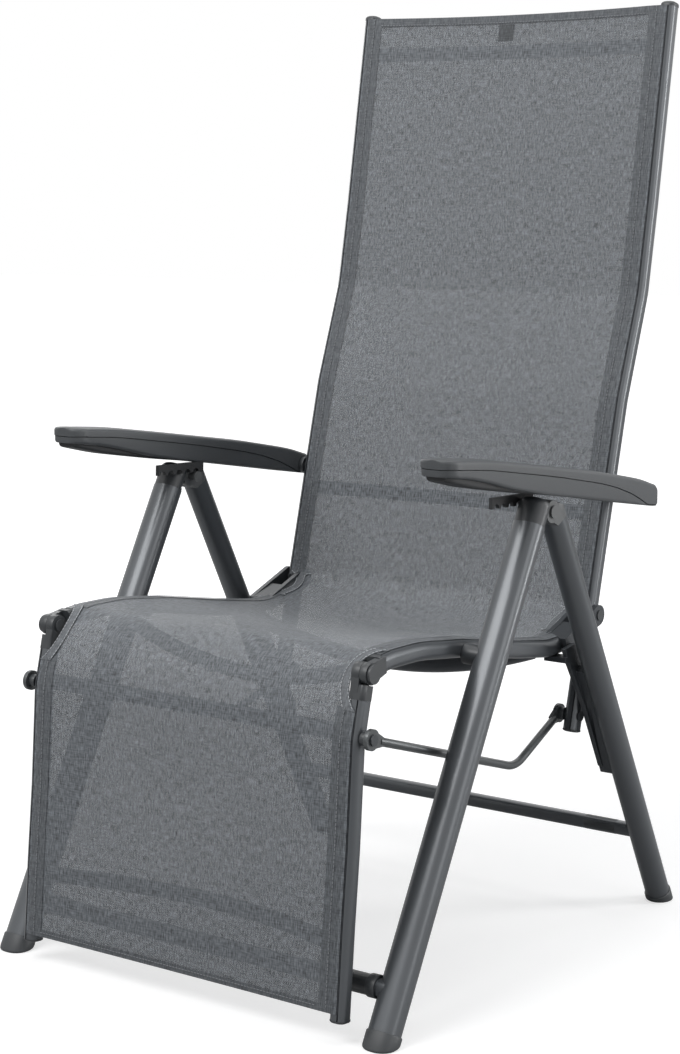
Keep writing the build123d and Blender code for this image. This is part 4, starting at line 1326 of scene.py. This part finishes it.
    def layout(self) -> tuple[np.ndarray, np.ndarray, np.ndarray]:
        """Lay the centreline out at even steps.

        Returns:
            Its points, their running lengths and their directions towards the sitter.
        """
        line = self.centreline()
        run = running_length(line)
        even = np.linspace(0.0, run[-1], self.even_steps)
        line = np.column_stack([np.interp(even, run, column) for column in line.T])
        ahead = unit(np.gradient(line, axis=0))
        return line, even, np.column_stack((ahead[:, 1], -ahead[:, 0]))

    def run_at(self, point: Point) -> float:
        """Return the running length nearest to a side view point."""
        line, run, _ = self.layout()
        return float(run[np.argmin(np.linalg.norm(line - np.array(point), axis=1))])

    def notches(self) -> tuple[Notch, Notch]:
        """Return the cut-outs beside the rear brackets and beside the front hinges."""
        return tuple(Notch(self.run_at(point), centre_x, radius)
                     for point, centre_x, radius in (self.rear_notch, self.front_notch))

    def edges(self, run: np.ndarray) -> np.ndarray:
        """Return the half width of the cloth at each running length."""
        rear, front = (notch.edge(run, self.edge_x) for notch in self.notches())
        return np.minimum(rear, front)

    def grid(self, run: np.ndarray, x: np.ndarray, lift: float | np.ndarray) -> Row:
        """Lay points on the cloth: the rails' line less the sag, which is a parabola across.

        Args:
            run: Running length of each row.
            x: Distance from the chair's middle, one row each.
            lift: Distance towards the sitter, one number or one per column.

        Returns:
            Points and flat (u, v) coordinates in metres.
        """
        line, even, toward = self.layout()
        middle, out = (np.column_stack([np.interp(run, even, column) for column in table.T])
                       for table in (line, toward))
        sag = np.interp(run / even[-1], self.sag_runs, self.sags)[:, None]
        high = np.broadcast_to(lift, x.shape) - sag * np.maximum(1.0 - (x / self.flat_x) ** 2, 0.0)
        y, z = (middle[:, index:index + 1] + out[:, index:index + 1] * high for index in (0, 1))
        verts = np.stack((x, y + self.plane.origin_y, z), axis=-1)
        flat = np.stack((x, np.broadcast_to(run[:, None], x.shape)), axis=-1)
        return verts.reshape(-1, 3), flat.reshape(-1, 2)

    def cloth(self, name: str, run: np.ndarray, sides: Row, columns: int,
              lift: float | np.ndarray) -> bpy.types.Object:
        """Build a patch of cloth, with its flat coordinates in the "Cloth" map.

        Args:
            name: Name of the piece.
            run: Running length of each row.
            sides: Distance from the middle of its right and left edge in each row.
            columns: Number of points in a row.
            lift: Distance towards the sitter, one number or one per column.

        Returns:
            The patch, its faces towards the sitter.
        """
        low, high = sides
        x = low[:, None] + (high - low)[:, None] * np.linspace(0.0, 1.0, columns)
        verts, flat = self.grid(run, x, lift)
        faces = ring_faces(len(run), columns, closed=False)
        piece = build_mesh(name, verts, faces, 80.0, closed=False)
        layer = piece.data.uv_layers.new(name="Cloth")
        corner = np.empty(len(piece.data.loops), dtype=np.int64)
        piece.data.loops.foreach_get("vertex_index", corner)
        layer.data.foreach_set("uv", flat[corner].ravel())
        return piece

    def spans(self, half: Half) -> list[Point]:
        """Find the stretches of a cloth where its side hems run, before and after the cut-out.

        Args:
            half: The cloth.

        Returns:
            First and last running length of each.
        """
        reach = half.notch.reach(self.edge_x) - self.hem_stop
        both = ((half.start, half.notch.run - reach), (half.notch.run + reach, half.end))
        return [span for span in both if span[1] - span[0] > self.least_hem]

    def stitches(self, name: str, lines: list[Row], lift: float) -> bpy.types.Object:
        """Build rows of stitches as short threads, thinner where they dive into the cloth.

        Args:
            name: Name of the piece.
            lines: Running lengths and distances from the middle of each row of stitches.
            lift: Distance towards the sitter.

        Returns:
            All the stitches in one object.
        """
        places = np.array(self.stitch_places)
        sizes = self.stitch_radius * np.array(self.stitch_sizes)[:, None, None]
        around = np.linspace(0.0, 2.0 * math.pi, self.stitch_sides, endpoint=False)[:, None]
        never_along = np.array((0.31, 0.52, 0.79))
        path_spacing = 0.0006
        verts: list[np.ndarray] = []
        faces: list[Face] = []
        for run, x in lines:
            path = resampled(self.grid(run, x[:, None], lift)[0], path_spacing)
            length = running_length(path)
            pitch = self.stitch_length + self.stitch_gap
            for index in range(int(length[-1] / pitch)):
                at = index * pitch + self.stitch_length * places
                spine = np.column_stack([np.interp(at, length, column) for column in path.T])
                ways = tangents(spine)
                across = unit(np.cross(ways, never_along))
                other = np.cross(ways, across)
                out = np.cos(around) * across[:, None] + np.sin(around) * other[:, None]
                base = len(verts) * len(places) * len(around)
                faces.extend(tube_faces(len(places), len(around), base))
                verts.append((spine[:, None] + sizes * out).reshape(-1, 3))
        return build_mesh(name, np.vstack(verts), faces, 80.0)

    def tag(self) -> bpy.types.Object:
        """Build the small blank tag under the top hem.

        Returns:
            The tag.
        """
        high, low = self.tag_ends
        rows, columns = self.tag_grid
        part = np.linspace(self.run_at(high), self.run_at(low), rows)
        right, left = (np.full(part.shape, x) for x in self.tag_x)
        return self.cloth("blank_tag", part, (right, left), columns, self.tag_lift)

    def side_hems(self, half: Half, side: Side) -> tuple[list[bpy.types.Object], list[Row]]:
        """Build the hems along one edge of a cloth, which dive into the rail's groove.

        Args:
            half: The cloth.
            side: Which edge.

        Returns:
            The hems, and the lines of their stitches.
        """
        sign = side.value
        hems, seams = [], []
        for number, span in enumerate(self.spans(half)):
            part = np.linspace(*span, self.hem_rows)
            inner, outer, seam = (np.full(part.shape, sign * (self.edge_x - inset)) for inset in
                                  (self.hem, -self.hem_over, self.hem_seam * self.hem))
            hems.append(self.cloth(f"side_hem_{half.word}_{number}_{side.word}", part,
                                   (inner, outer)[::sign], len(self.hem_dive),
                                   self.lift + np.array(self.hem_dive)[::sign]))
            seams.append((part, seam))
        return hems, seams

    def notch_tape(self, half: Half, side: Side) -> tuple[bpy.types.Object, list[Row]]:
        """Build the tape that binds one cut-out.

        Args:
            half: The cloth.
            side: Which edge.

        Returns:
            The tape, and the lines of its stitches.
        """
        sign = side.value
        notch = half.notch
        reach = notch.reach(self.edge_x)
        rows, columns = self.tape_grid
        part = np.linspace(max(half.start, notch.run - reach), min(half.end, notch.run + reach),
                           rows)
        outer = notch.edge(part, self.edge_x) + self.tape_over
        width = self.tape * notch.slant(part)
        sides = (sign * (outer - width), sign * outer)[::sign]
        tape = self.cloth(f"notch_tape_{half.word}_{side.word}", part, sides, columns,
                          2.0 * self.lift)
        return tape, [(part, sign * (outer - width * share)) for share in self.tape_seams]

    def half_sling(self, half: Half) -> None:
        """Build one of the two cloths with its hems, tapes and stitches.

        Args:
            half: The cloth.
        """
        rows = np.linspace(half.start, half.end, self.cloth_grid[0])
        edge = self.edges(rows)
        main = self.cloth("sling_" + half.word, rows, (-edge, edge), self.cloth_grid[1], 0.0)
        pieces: list[tuple[bpy.types.Object, Look]] = [(main, SLING)]
        lines: list[Row] = []
        curves: list[Row] = []
        for side in Side:
            hems, seams = self.side_hems(half, side)
            tape, tape_seams = self.notch_tape(half, side)
            pieces += [(hem, HEM) for hem in hems] + [(tape, BINDING)]
            lines += seams
            curves += tape_seams
        inner = self.edge_x - self.hem
        end_rows, end_columns = self.end_grid
        part = np.linspace(*half.hem, end_rows)
        wide = np.full(part.shape, inner)
        end_hem = self.cloth(half.word + "_end_hem", part, (-wide, wide), end_columns, self.lift)
        across = np.linspace(-inner, inner, end_columns)
        lines.append((np.full(across.shape, half.seam), across))
        hem_lift, tape_lift = (2.0 * self.lift + over for over in self.stitch_lifts)
        pieces += [(end_hem, HEM),
                   (self.stitches("stitches_" + half.word, lines, hem_lift), THREAD),
                   (self.stitches("notch_stitches_" + half.word, curves, tape_lift), PALE_THREAD)]
        if half.word == "back":
            pieces.append((self.tag(), TAG_CLOTH))
        leave, join = (self.plane.at(0.0, point) for point in half.bend)
        for piece, finish in pieces:
            dress(piece, finish)
            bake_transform(piece)
        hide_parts(*half.nodes)

    def build(self) -> None:
        """Build the sling as two cloths that meet in the middle of the seat."""
        total = float(self.layout()[1][-1])
        middle = self.run_at(self.meet)
        rear, front = self.notches()
        top, top_share = self.top_hem
        bottom, bottom_share = self.bottom_hem
        self.half_sling(Half("back", 0.0, middle, rear, (Body.BACK, Body.FRAME),
                             ((0.5133, 0.4278), (0.478, 0.387)), (0.0, top), top_share * top,
                             ("back_fabric", "label_tag"), ("back_side_rail",)))
        self.half_sling(Half("front", middle, total, front, (Body.FRAME, Body.FOOTREST),
                             ((0.050, 0.420), (0.022, 0.392)), (total - bottom, total),
                             total - bottom_share * bottom, ("seat_fabric", "footrest_fabric"),
                             ("seat_side_rail", "footrest_side_rail")))


# ---------------------------------------------------------------- armrests


def height_at(y: np.ndarray, line: tuple[Point, ...]) -> np.ndarray:
    """Return the height of a side view line at each y."""
    return np.interp(y, *np.array(line).T)


def smoothed(values: np.ndarray, span: int = 15) -> np.ndarray:
    """Round the corners in a row of values with a bell-shaped running mean.

    Args:
        values: The values.
        span: Number of neighbours that a mean takes in.

    Returns:
        The smoothed values.
    """
    kernel = np.hanning(span)
    wide = np.pad(values, len(kernel) // 2, mode="reflect", reflect_type="odd")
    return np.convolve(wide, kernel / kernel.sum(), mode="valid")


@dataclass(frozen=True)
class Armrests:
    """Armrest shells: an upper shell over a lower one, with a parting line between them.

    Attributes:
        plane: The side view.
        middle_x: Distance of an armrest from the middle of the chair.
        width: Its width.
        tip_y: Side view Y of its tip.
        rear_y: Side view Y of its rear end.
        tip_round: Length of the rounding at the tip, and its share of that length across.
        rear_round: The same at the rear end.
        top_line: Side view of the top.
        low_line: Side view of the underside.
        raised_line: Where the shell's own edge lies higher than the core's underside.
        seam_line: Depth of the parting below the top, along Y.
        gap: Width of the parting.
        least_side: Least height of the lower shell's side.
        crown: How much the top is crowned.
        shoulder: Radius of the upper shell's edges.
        shoulder_share: Largest share of that shell's side that the radius takes.
        lower_inset: How far the lower shell stands back under the upper one.
        lower_round: Radius of its lower edges.
        lower_share: Largest share of its side that the radius takes.
        core_inset: How far the near-black core, painted shade in the parting and under the tip,
            stands back from the shells' sides.
        core_ends: How far the core stands back from the tip and from the rear end.
        core_sink: How far its top lies below the armrest's top.
        core_hang: How far its underside lies over the underside line.
        pivot: Side view point of the armrest's pivot.
        bolt: Side view point of the bolt that the rack locks on.
        rack_x: Sides of the rack.
        rack_reach: Its ends, counted from the pivot towards the bolt.
        rack_rise: Its lower and upper edge, counted square to that.
        rack_notches: Middles of its notches, counted like its ends.
        notch_radius: Radius of a notch.
        tip_fan: Length and number of the close cross sections at the tip.
        rear_fan: The same at the rear end.
        sections: Number of cross sections between them, and of the core's.
        shoulder_points: Number of points on a round shoulder.
        lower_points: Number of points on a round lower edge.
        crown_points: Number of steps from the middle of the crowned top to its edge.
        arc_points: Number of points on a notch of the rack.
    """

    plane: SidePlane
    middle_x: float = 0.273
    width: float = 0.050
    tip_y: float = 0.0990
    rear_y: float = 0.5765
    tip_round: Point = (0.019, 0.92)
    rear_round: Point = (0.011, 0.9)
    top_line: tuple[Point, ...] = (
        (0.099, 0.6375), (0.107, 0.638), (0.179, 0.631), (0.272, 0.617), (0.429, 0.5925),
        (0.531, 0.573), (0.560, 0.564), (0.570, 0.5585), (0.5765, 0.551))
    low_line: tuple[Point, ...] = (
        (0.099, 0.615), (0.111, 0.612), (0.162, 0.600), (0.243, 0.5865), (0.351, 0.571),
        (0.434, 0.557), (0.569, 0.534), (0.5765, 0.545))
    raised_line: tuple[Point, ...] = (
        (0.099, 0.6195), (0.130, 0.6160), (0.1765, 0.6065), (0.2305, 0.5925), (0.310, 0.5770),
        (0.3101, 0.0))
    seam_line: tuple[Point, ...] = (
        (0.10, 0.0105), (0.24, 0.0114), (0.33, 0.0118), (0.426, 0.0144), (0.466, 0.0163),
        (0.503, 0.0209), (0.545, 0.0298), (0.565, 0.0360))
    gap: float = 0.0009
    least_side: float = 0.0012
    crown: float = 0.0012
    shoulder: float = 0.0042
    shoulder_share: float = 0.8
    lower_inset: float = 0.0011
    lower_round: float = 0.004
    lower_share: float = 0.4
    core_inset: float = 0.0065
    core_ends: Point = (0.006, 0.030)
    core_sink: float = 0.003
    core_hang: float = 0.0004
    pivot: Point = (0.556, 0.548)
    bolt: Point = (0.326, 0.556)
    rack_x: Point = (0.2496, 0.2546)
    rack_reach: Point = (0.216, 0.306)
    rack_rise: Point = (0.0055, 0.0190)
    rack_notches: tuple[float, ...] = (0.231, 0.248, 0.265, 0.2815, 0.2965)
    notch_radius: float = 0.0056
    tip_fan: tuple[float, int] = (0.02, 18)
    rear_fan: tuple[float, int] = (0.012, 14)
    sections: int = 90
    shoulder_points: int = 9
    lower_points: int = 7
    crown_points: int = 6
    arc_points: int = 13

    def outline(self, y: np.ndarray, raised: bool) -> Row:
        """Return the height of the top and of the underside.

        Args:
            y: Places along the armrest.
            raised: True for the shell's own edge, which lies higher near the tip.

        Returns:
            The two heights at each place.
        """
        low = height_at(y, self.low_line)
        if raised:
            low = np.maximum(low, height_at(y, self.raised_line))
        return smoothed(height_at(y, self.top_line)), smoothed(low)

    def half(self, y: np.ndarray) -> np.ndarray:
        """Work out the half width, which a quarter ellipse draws in at the tip and at the rear.

        Args:
            y: Places along the armrest.

        Returns:
            The half width at each place.
        """
        widths = []
        for from_end, (length, share) in ((y - self.tip_y, self.tip_round),
                                          (self.rear_y - y, self.rear_round)):
            part = 1.0 - np.clip(from_end / length, 0.0, 1.0)
            widths.append(0.5 * self.width - length * share * (1.0 - np.sqrt(1.0 - part ** 2)))
        return np.minimum(*widths)

    def loft(self, name: str, side: Side, y: np.ndarray, section: Row) -> bpy.types.Object:
        """Join cross sections along the armrest to a closed shell.

        Args:
            name: Name of the piece.
            side: Which armrest.
            y: Place of each cross section.
            section: The x from the armrest's middle and the z of its points, one row each.

        Returns:
            The shell.
        """
        x, z = section
        along = np.broadcast_to(y[:, None] + self.plane.origin_y, x.shape)
        verts = np.stack((x + side.value * self.middle_x, along, z), axis=-1)
        return build_mesh(name, verts.reshape(-1, 3), tube_faces(*x.shape), 42.0)

    def upper_section(self, half: np.ndarray, top: np.ndarray, seam: np.ndarray) -> Row:
        """Return cross sections with straight sides, round shoulders and a crowned top.

        Args:
            half: Half width at each place, as a column.
            top: Height of the top.
            seam: Height of the parting.

        Returns:
            The x and z of the points, one row for each place.
        """
        turn = np.linspace(0.0, QUARTER, self.shoulder_points)
        share = 1.0 - np.arange(1, 2 * self.crown_points) / self.crown_points
        radius = np.minimum(self.shoulder, self.shoulder_share * (top - seam))
        floor = seam + self.gap
        x = half - radius + radius * np.cos(turn)
        z = top - radius + radius * np.sin(turn)
        crown = top + self.crown * (1.0 - share ** 2)
        return (np.hstack((half, x, (half - radius) * share, -x[:, ::-1], -half)),
                np.hstack((floor, z, crown, z[:, ::-1], floor)))

    def lower_section(self, half: np.ndarray, seam: np.ndarray, base: np.ndarray) -> Row:
        """Return cross sections with straight sides, round lower edges and a flat underside.

        Args:
            half: Half width at each place, as a column.
            seam: Height of the parting.
            base: Height of the underside.

        Returns:
            The x and z of the points, one row for each place.
        """
        turn = np.linspace(0.0, QUARTER, self.lower_points)
        radius = np.minimum(self.lower_round, self.lower_share * (seam - base))
        side = half - self.lower_inset
        x = side - radius + radius * np.cos(turn)
        z = base + radius - radius * np.sin(turn)
        return np.hstack((-side, -x, x[:, ::-1], side)), np.hstack((seam, z, z[:, ::-1], seam))

    def shells(self, side: Side) -> tuple[bpy.types.Object, bpy.types.Object]:
        """Build the two shells of one armrest, with cross sections that crowd at its ends.

        Args:
            side: Which armrest.

        Returns:
            The upper and the lower shell.
        """
        tip_length, tip_count = self.tip_fan
        rear_length, rear_count = self.rear_fan
        near = self.tip_y + tip_length * (1.0 - np.cos(np.linspace(0.0, QUARTER, tip_count)))
        far = self.rear_y - rear_length * (1.0 - np.cos(np.linspace(QUARTER, 0.0, rear_count)))
        y = np.concatenate((near, np.linspace(near[-1], far[0], self.sections)[1:-1], far))
        top, low = (height[:, None] for height in self.outline(y, raised=True))
        half = self.half(y)[:, None]
        seam = np.maximum(top - height_at(y, self.seam_line)[:, None], low + self.least_side)
        upper = self.upper_section(half, top, seam)
        lower = self.lower_section(half, seam, low)
        return (self.loft("armrest_upper_shell_" + side.word, side, y, upper),
                self.loft("armrest_lower_shell_" + side.word, side, y, lower))

    def core(self, side: Side) -> bpy.types.Object:
        """Build the near-black core: painted shade that fills the parting and hangs a little out of
        the underside.

        Args:
            side: Which armrest.

        Returns:
            The core.
        """
        near, far = self.core_ends
        y = np.linspace(self.tip_y + near, self.rear_y - far, self.sections)
        top, low = (height[:, None] for height in self.outline(y, raised=False))
        half = self.half(y)[:, None] - self.core_inset
        section = self.lower_section(half, top - self.core_sink, low + self.core_hang)
        return self.loft("armrest_core_" + side.word, side, y, section)

    def rack(self, side: Side) -> bpy.types.Object:
        """Build the toothed rack that locks on the bolt, as far as it shows under the armrest.

        Args:
            side: Which armrest.

        Returns:
            The rack.
        """
        near, far = self.rack_reach
        floor, ceiling = self.rack_rise
        turn = np.linspace(math.pi, 0.0, self.arc_points)
        arc = self.notch_radius * np.column_stack((np.cos(turn), np.sin(turn)))
        notches = [arc + np.array((middle, floor)) for middle in self.rack_notches]
        outline = np.vstack(((near, floor), *notches, (far, floor), (far, ceiling),
                             (near, ceiling)))
        ray = unit(np.array(self.bolt) - np.array(self.pivot))
        rise = np.array((ray[1], -ray[0]))
        flat = np.array(self.pivot) + outline[:, :1] * ray + outline[:, 1:] * rise
        verts = np.vstack([self.plane.line(side.value * x, flat) for x in self.rack_x])
        return build_mesh("toothed_rack_" + side.word, verts, tube_faces(2, len(flat)), 30.0)

    def build(self) -> None:
        """Build shells, painted shade core and rack of both armrests."""
        for side in Side:
            body = Body.ARM_LEFT if side is Side.LEFT else Body.ARM_RIGHT
            word = side.word
            upper, lower = self.shells(side)
            place(upper, body, ARM_PLASTIC, "armrests", "armrest_top_" + word)
            place(lower, body, ARM_PLASTIC, "armrests", "armrest_base_" + word)
            # The core's near-black finish is painted shade in the parting line and under the tip;
            # the rack's black is its own colour.
            place(self.core(side), body, RACK_PAINT_AND_SHADE, "armrests")
            place(self.rack(side), body, RACK_PAINT_AND_SHADE, "armrests", "armrest_rack_" + word)


# ---------------------------------------------------------------- pieces kept from the solids


@dataclass(frozen=True)
class KeptNodes:
    """CAD nodes whose shape is right: they get rounded edges and a finish.

    Attributes:
        nodes: The CAD objects by name.
        weld: Points nearer than this are one point.
        edge: Width of the rounding of an edge.
        least_turn: Edges that bend by fewer degrees stay as they are.
        finishes: Finish of each node, or pair of nodes, by the start of its name.
    """

    nodes: dict[str, bpy.types.Object]
    weld: float = 0.00001
    edge: float = 0.0006
    least_turn: float = 38.0
    finishes: tuple[tuple[str, Finish], ...] = (
        ("leg_head", MOULDED), ("rear_head", PALE_PLASTIC), ("pivot_bolt", PALE_PLASTIC),
        ("saddle_strut", CAST), ("seat_hinge", MOULDED), ("footrest_hinge", MOULDED),
        ("hinge_pins", MOULDED), ("front_sleeves", MOULDED), ("rear_sleeve", MOULDED),
        ("seat_pivot", MOULDED), ("back_pins", MOULDED), ("rear_bracket", CAST),
        ("link_bushes", MOULDED), ("link_rivets", CAST), ("link_rod", ROD_PAINT),
        ("armrest_pins", MOULDED),
    )

    def build(self) -> None:
        """Dress every kept node."""
        for name, piece in self.nodes.items():
            for stem, finish in self.finishes:
                if name in (stem, stem + "_left", stem + "_right"):
                    self.soften(piece)
                    dress(piece, finish)

    def soften(self, piece: bpy.types.Object) -> None:
        """Round the sharp edges of a CAD object with modifiers.

        Args:
            piece: The CAD object.
        """
        weld = piece.modifiers.new("Weld", "WELD")
        weld.merge_threshold = self.weld
        bevel = piece.modifiers.new("Bevel", "BEVEL")
        bevel.width = self.edge
        bevel.segments = 2
        bevel.limit_method = "ANGLE"
        bevel.angle_limit = math.radians(self.least_turn)
        bevel.harden_normals = True


# ---------------------------------------------------------------- studio


@dataclass(frozen=True)
class Lamp:
    """A soft box that points at the chair.

    Attributes:
        name: Its name.
        spot: Where it hangs.
        size: Its width and height.
        power: Its power in watts.
    """

    name: str
    spot: tuple[float, float, float]
    size: Point
    power: float


@dataclass(frozen=True)
class Studio:
    """Floor, lamps, world and the camera of the photograph.

    Attributes:
        plane: The side view.
        camera_x: Distance of the camera from the chair's middle.
        camera_point: Its side view point.
        azimuth: Its turn about the vertical, in degrees.
        pitch: How far it looks down, in degrees.
        lens: Its focal length for a 36 mm wide picture.
        aim: Point that the lamps look at.
        lamps: The lamps.
        floor_reach: Half side of the floor.
        floor_grey: Grey of the floor.
        floor_roughness: Its roughness.
        floor_glow: How bright the camera sees the floor under the chair; it is white further off.
        glow_span: Distances from the middle over which it turns white.
        sky: Colour of the surrounding light.
        sky_strength: Its strength.
    """

    plane: SidePlane
    camera_x: float = 1.6352
    camera_point: Point = (-1.9420, 0.9419)
    azimuth: float = 36.08
    pitch: float = 8.75
    lens: float = 120.18
    aim: tuple[float, float, float] = (0.0, 0.0, 0.55)
    lamps: tuple[Lamp, ...] = (
        Lamp("Key soft box", (-0.6, -1.95, 2.40), (2.0, 1.3), 52.0),
        Lamp("Rear right strip", (2.9, 1.9, 1.4), (0.7, 2.6), 66.0),
        Lamp("Rear left strip", (-2.6, 1.6, 1.6), (0.5, 2.0), 10.0),
        Lamp("Near fill", (3.6, -0.6, 1.6), (1.8, 2.2), 24.0),
        Lamp("Top panel", (0.0, 0.3, 3.2), (2.4, 2.4), 30.0),
    )
    floor_reach: float = 14.0
    floor_grey: float = 0.55
    floor_roughness: float = 0.9
    floor_glow: float = 0.60
    glow_span: Point = (0.8, 2.6)
    sky: Colour = (0.80, 0.83, 0.88)
    sky_strength: float = 0.20

    def camera(self) -> None:
        """Put the camera where the photograph was taken from."""
        data = bpy.data.cameras.new("Camera")
        data.sensor_fit = "HORIZONTAL"
        data.sensor_width = 36.0
        data.lens = self.lens
        camera = linked("Camera", data)
        camera.location = Vector(self.plane.at(self.camera_x, self.camera_point).tolist())
        camera.rotation_euler = (math.radians(90.0 - self.pitch), 0.0, math.radians(self.azimuth))
        bpy.context.scene.camera = camera

    def hang(self, lamp: Lamp) -> None:
        """Hang one lamp and turn it to the chair.

        Args:
            lamp: The lamp.
        """
        data = bpy.data.lights.new(lamp.name, "AREA")
        data.shape = "RECTANGLE"
        data.size, data.size_y = lamp.size
        data.energy = lamp.power
        box = linked(lamp.name, data)
        box.location = lamp.spot
        way = Vector(self.aim) - Vector(lamp.spot)
        box.rotation_euler = way.to_track_quat("-Z", "Y").to_euler()

    def floor(self) -> None:
        """Lay a pale floor that the camera sees as nearly white and that still takes the shadow."""
        reach = self.floor_reach
        mesh = bpy.data.meshes.new("floor")
        mesh.from_pydata([(-reach, -reach, 0.0), (reach, -reach, 0.0), (reach, reach, 0.0),
                          (-reach, reach, 0.0)], [], [(0, 1, 2, 3)])
        floor = linked("floor", mesh)
        material = bpy.data.materials.new("Pale floor")
        material.use_nodes = True
        nodes = Nodes(material.node_tree)
        spot = nodes.add("NewGeometry").outputs["Position"]
        away = nodes.add("VectorMath", operation="LENGTH", vector=spot).outputs["Value"]
        near, far = self.glow_span
        fade = nodes.add("MapRange", value=away, from_min=near, from_max=far,
                         to_min=self.floor_glow, to_max=1.0)
        seen = nodes.add("LightPath").outputs["Is Camera Ray"]
        nodes.wire(material.node_tree.nodes["Principled BSDF"], {
            "Base Color": (self.floor_grey, self.floor_grey, self.floor_grey, 1.0),
            "Roughness": self.floor_roughness, "Emission Color": WHITE,
            "Emission Strength": nodes.math("MULTIPLY", seen, fade.outputs["Result"])})
        floor.data.materials.append(material)

    def world(self) -> None:
        """Give an even pale surrounding that is white where it is seen or mirrored."""
        world = bpy.data.worlds.new("Studio")
        world.use_nodes = True
        nodes = Nodes(world.node_tree)
        ground = world.node_tree.nodes["Background"]
        nodes.wire(ground, {"Color": (*self.sky, 1.0), "Strength": self.sky_strength})
        white = nodes.add("Background", color=WHITE, strength=1.0)
        path = nodes.add("LightPath").outputs
        shown = nodes.math("MAXIMUM", path["Is Camera Ray"], path["Is Glossy Ray"])
        shown = nodes.math("MAXIMUM", shown, path["Is Transmission Ray"])
        mix = nodes.add("MixShader")
        for socket, value in zip(mix.inputs, (shown, ground.outputs[0], white.outputs[0])):
            nodes.feed(socket, value)
        nodes.wire(world.node_tree.nodes["World Output"], {"Surface": mix.outputs[0]})
        bpy.context.scene.world = world

    def build(self) -> None:
        """Set up the whole studio."""
        self.floor()
        self.world()
        self.camera()
        for lamp in self.lamps:
            self.hang(lamp)
        bpy.context.scene.view_settings.view_transform = "Standard"


def main() -> None:
    """Load the solids, dress them and set up the studio."""
    logging.basicConfig(level=logging.INFO, format="%(name)s: %(message)s")
    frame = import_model()
    joints = {joint["name"]: joint for joint in frame["record"]["behaviour"]["joints"]}
    back_pivot_y = 0.516
    plane = SidePlane(joints["back_recline"]["pos_m"][1] - back_pivot_y)
    KeptNodes(frame["nodes"]).build()
    Legs(plane).build()
    Rails(plane).build()
    Sling(plane).build()
    Armrests(plane).build()
    Studio(plane).build()
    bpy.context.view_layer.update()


if __name__ == "__main__":
    main()
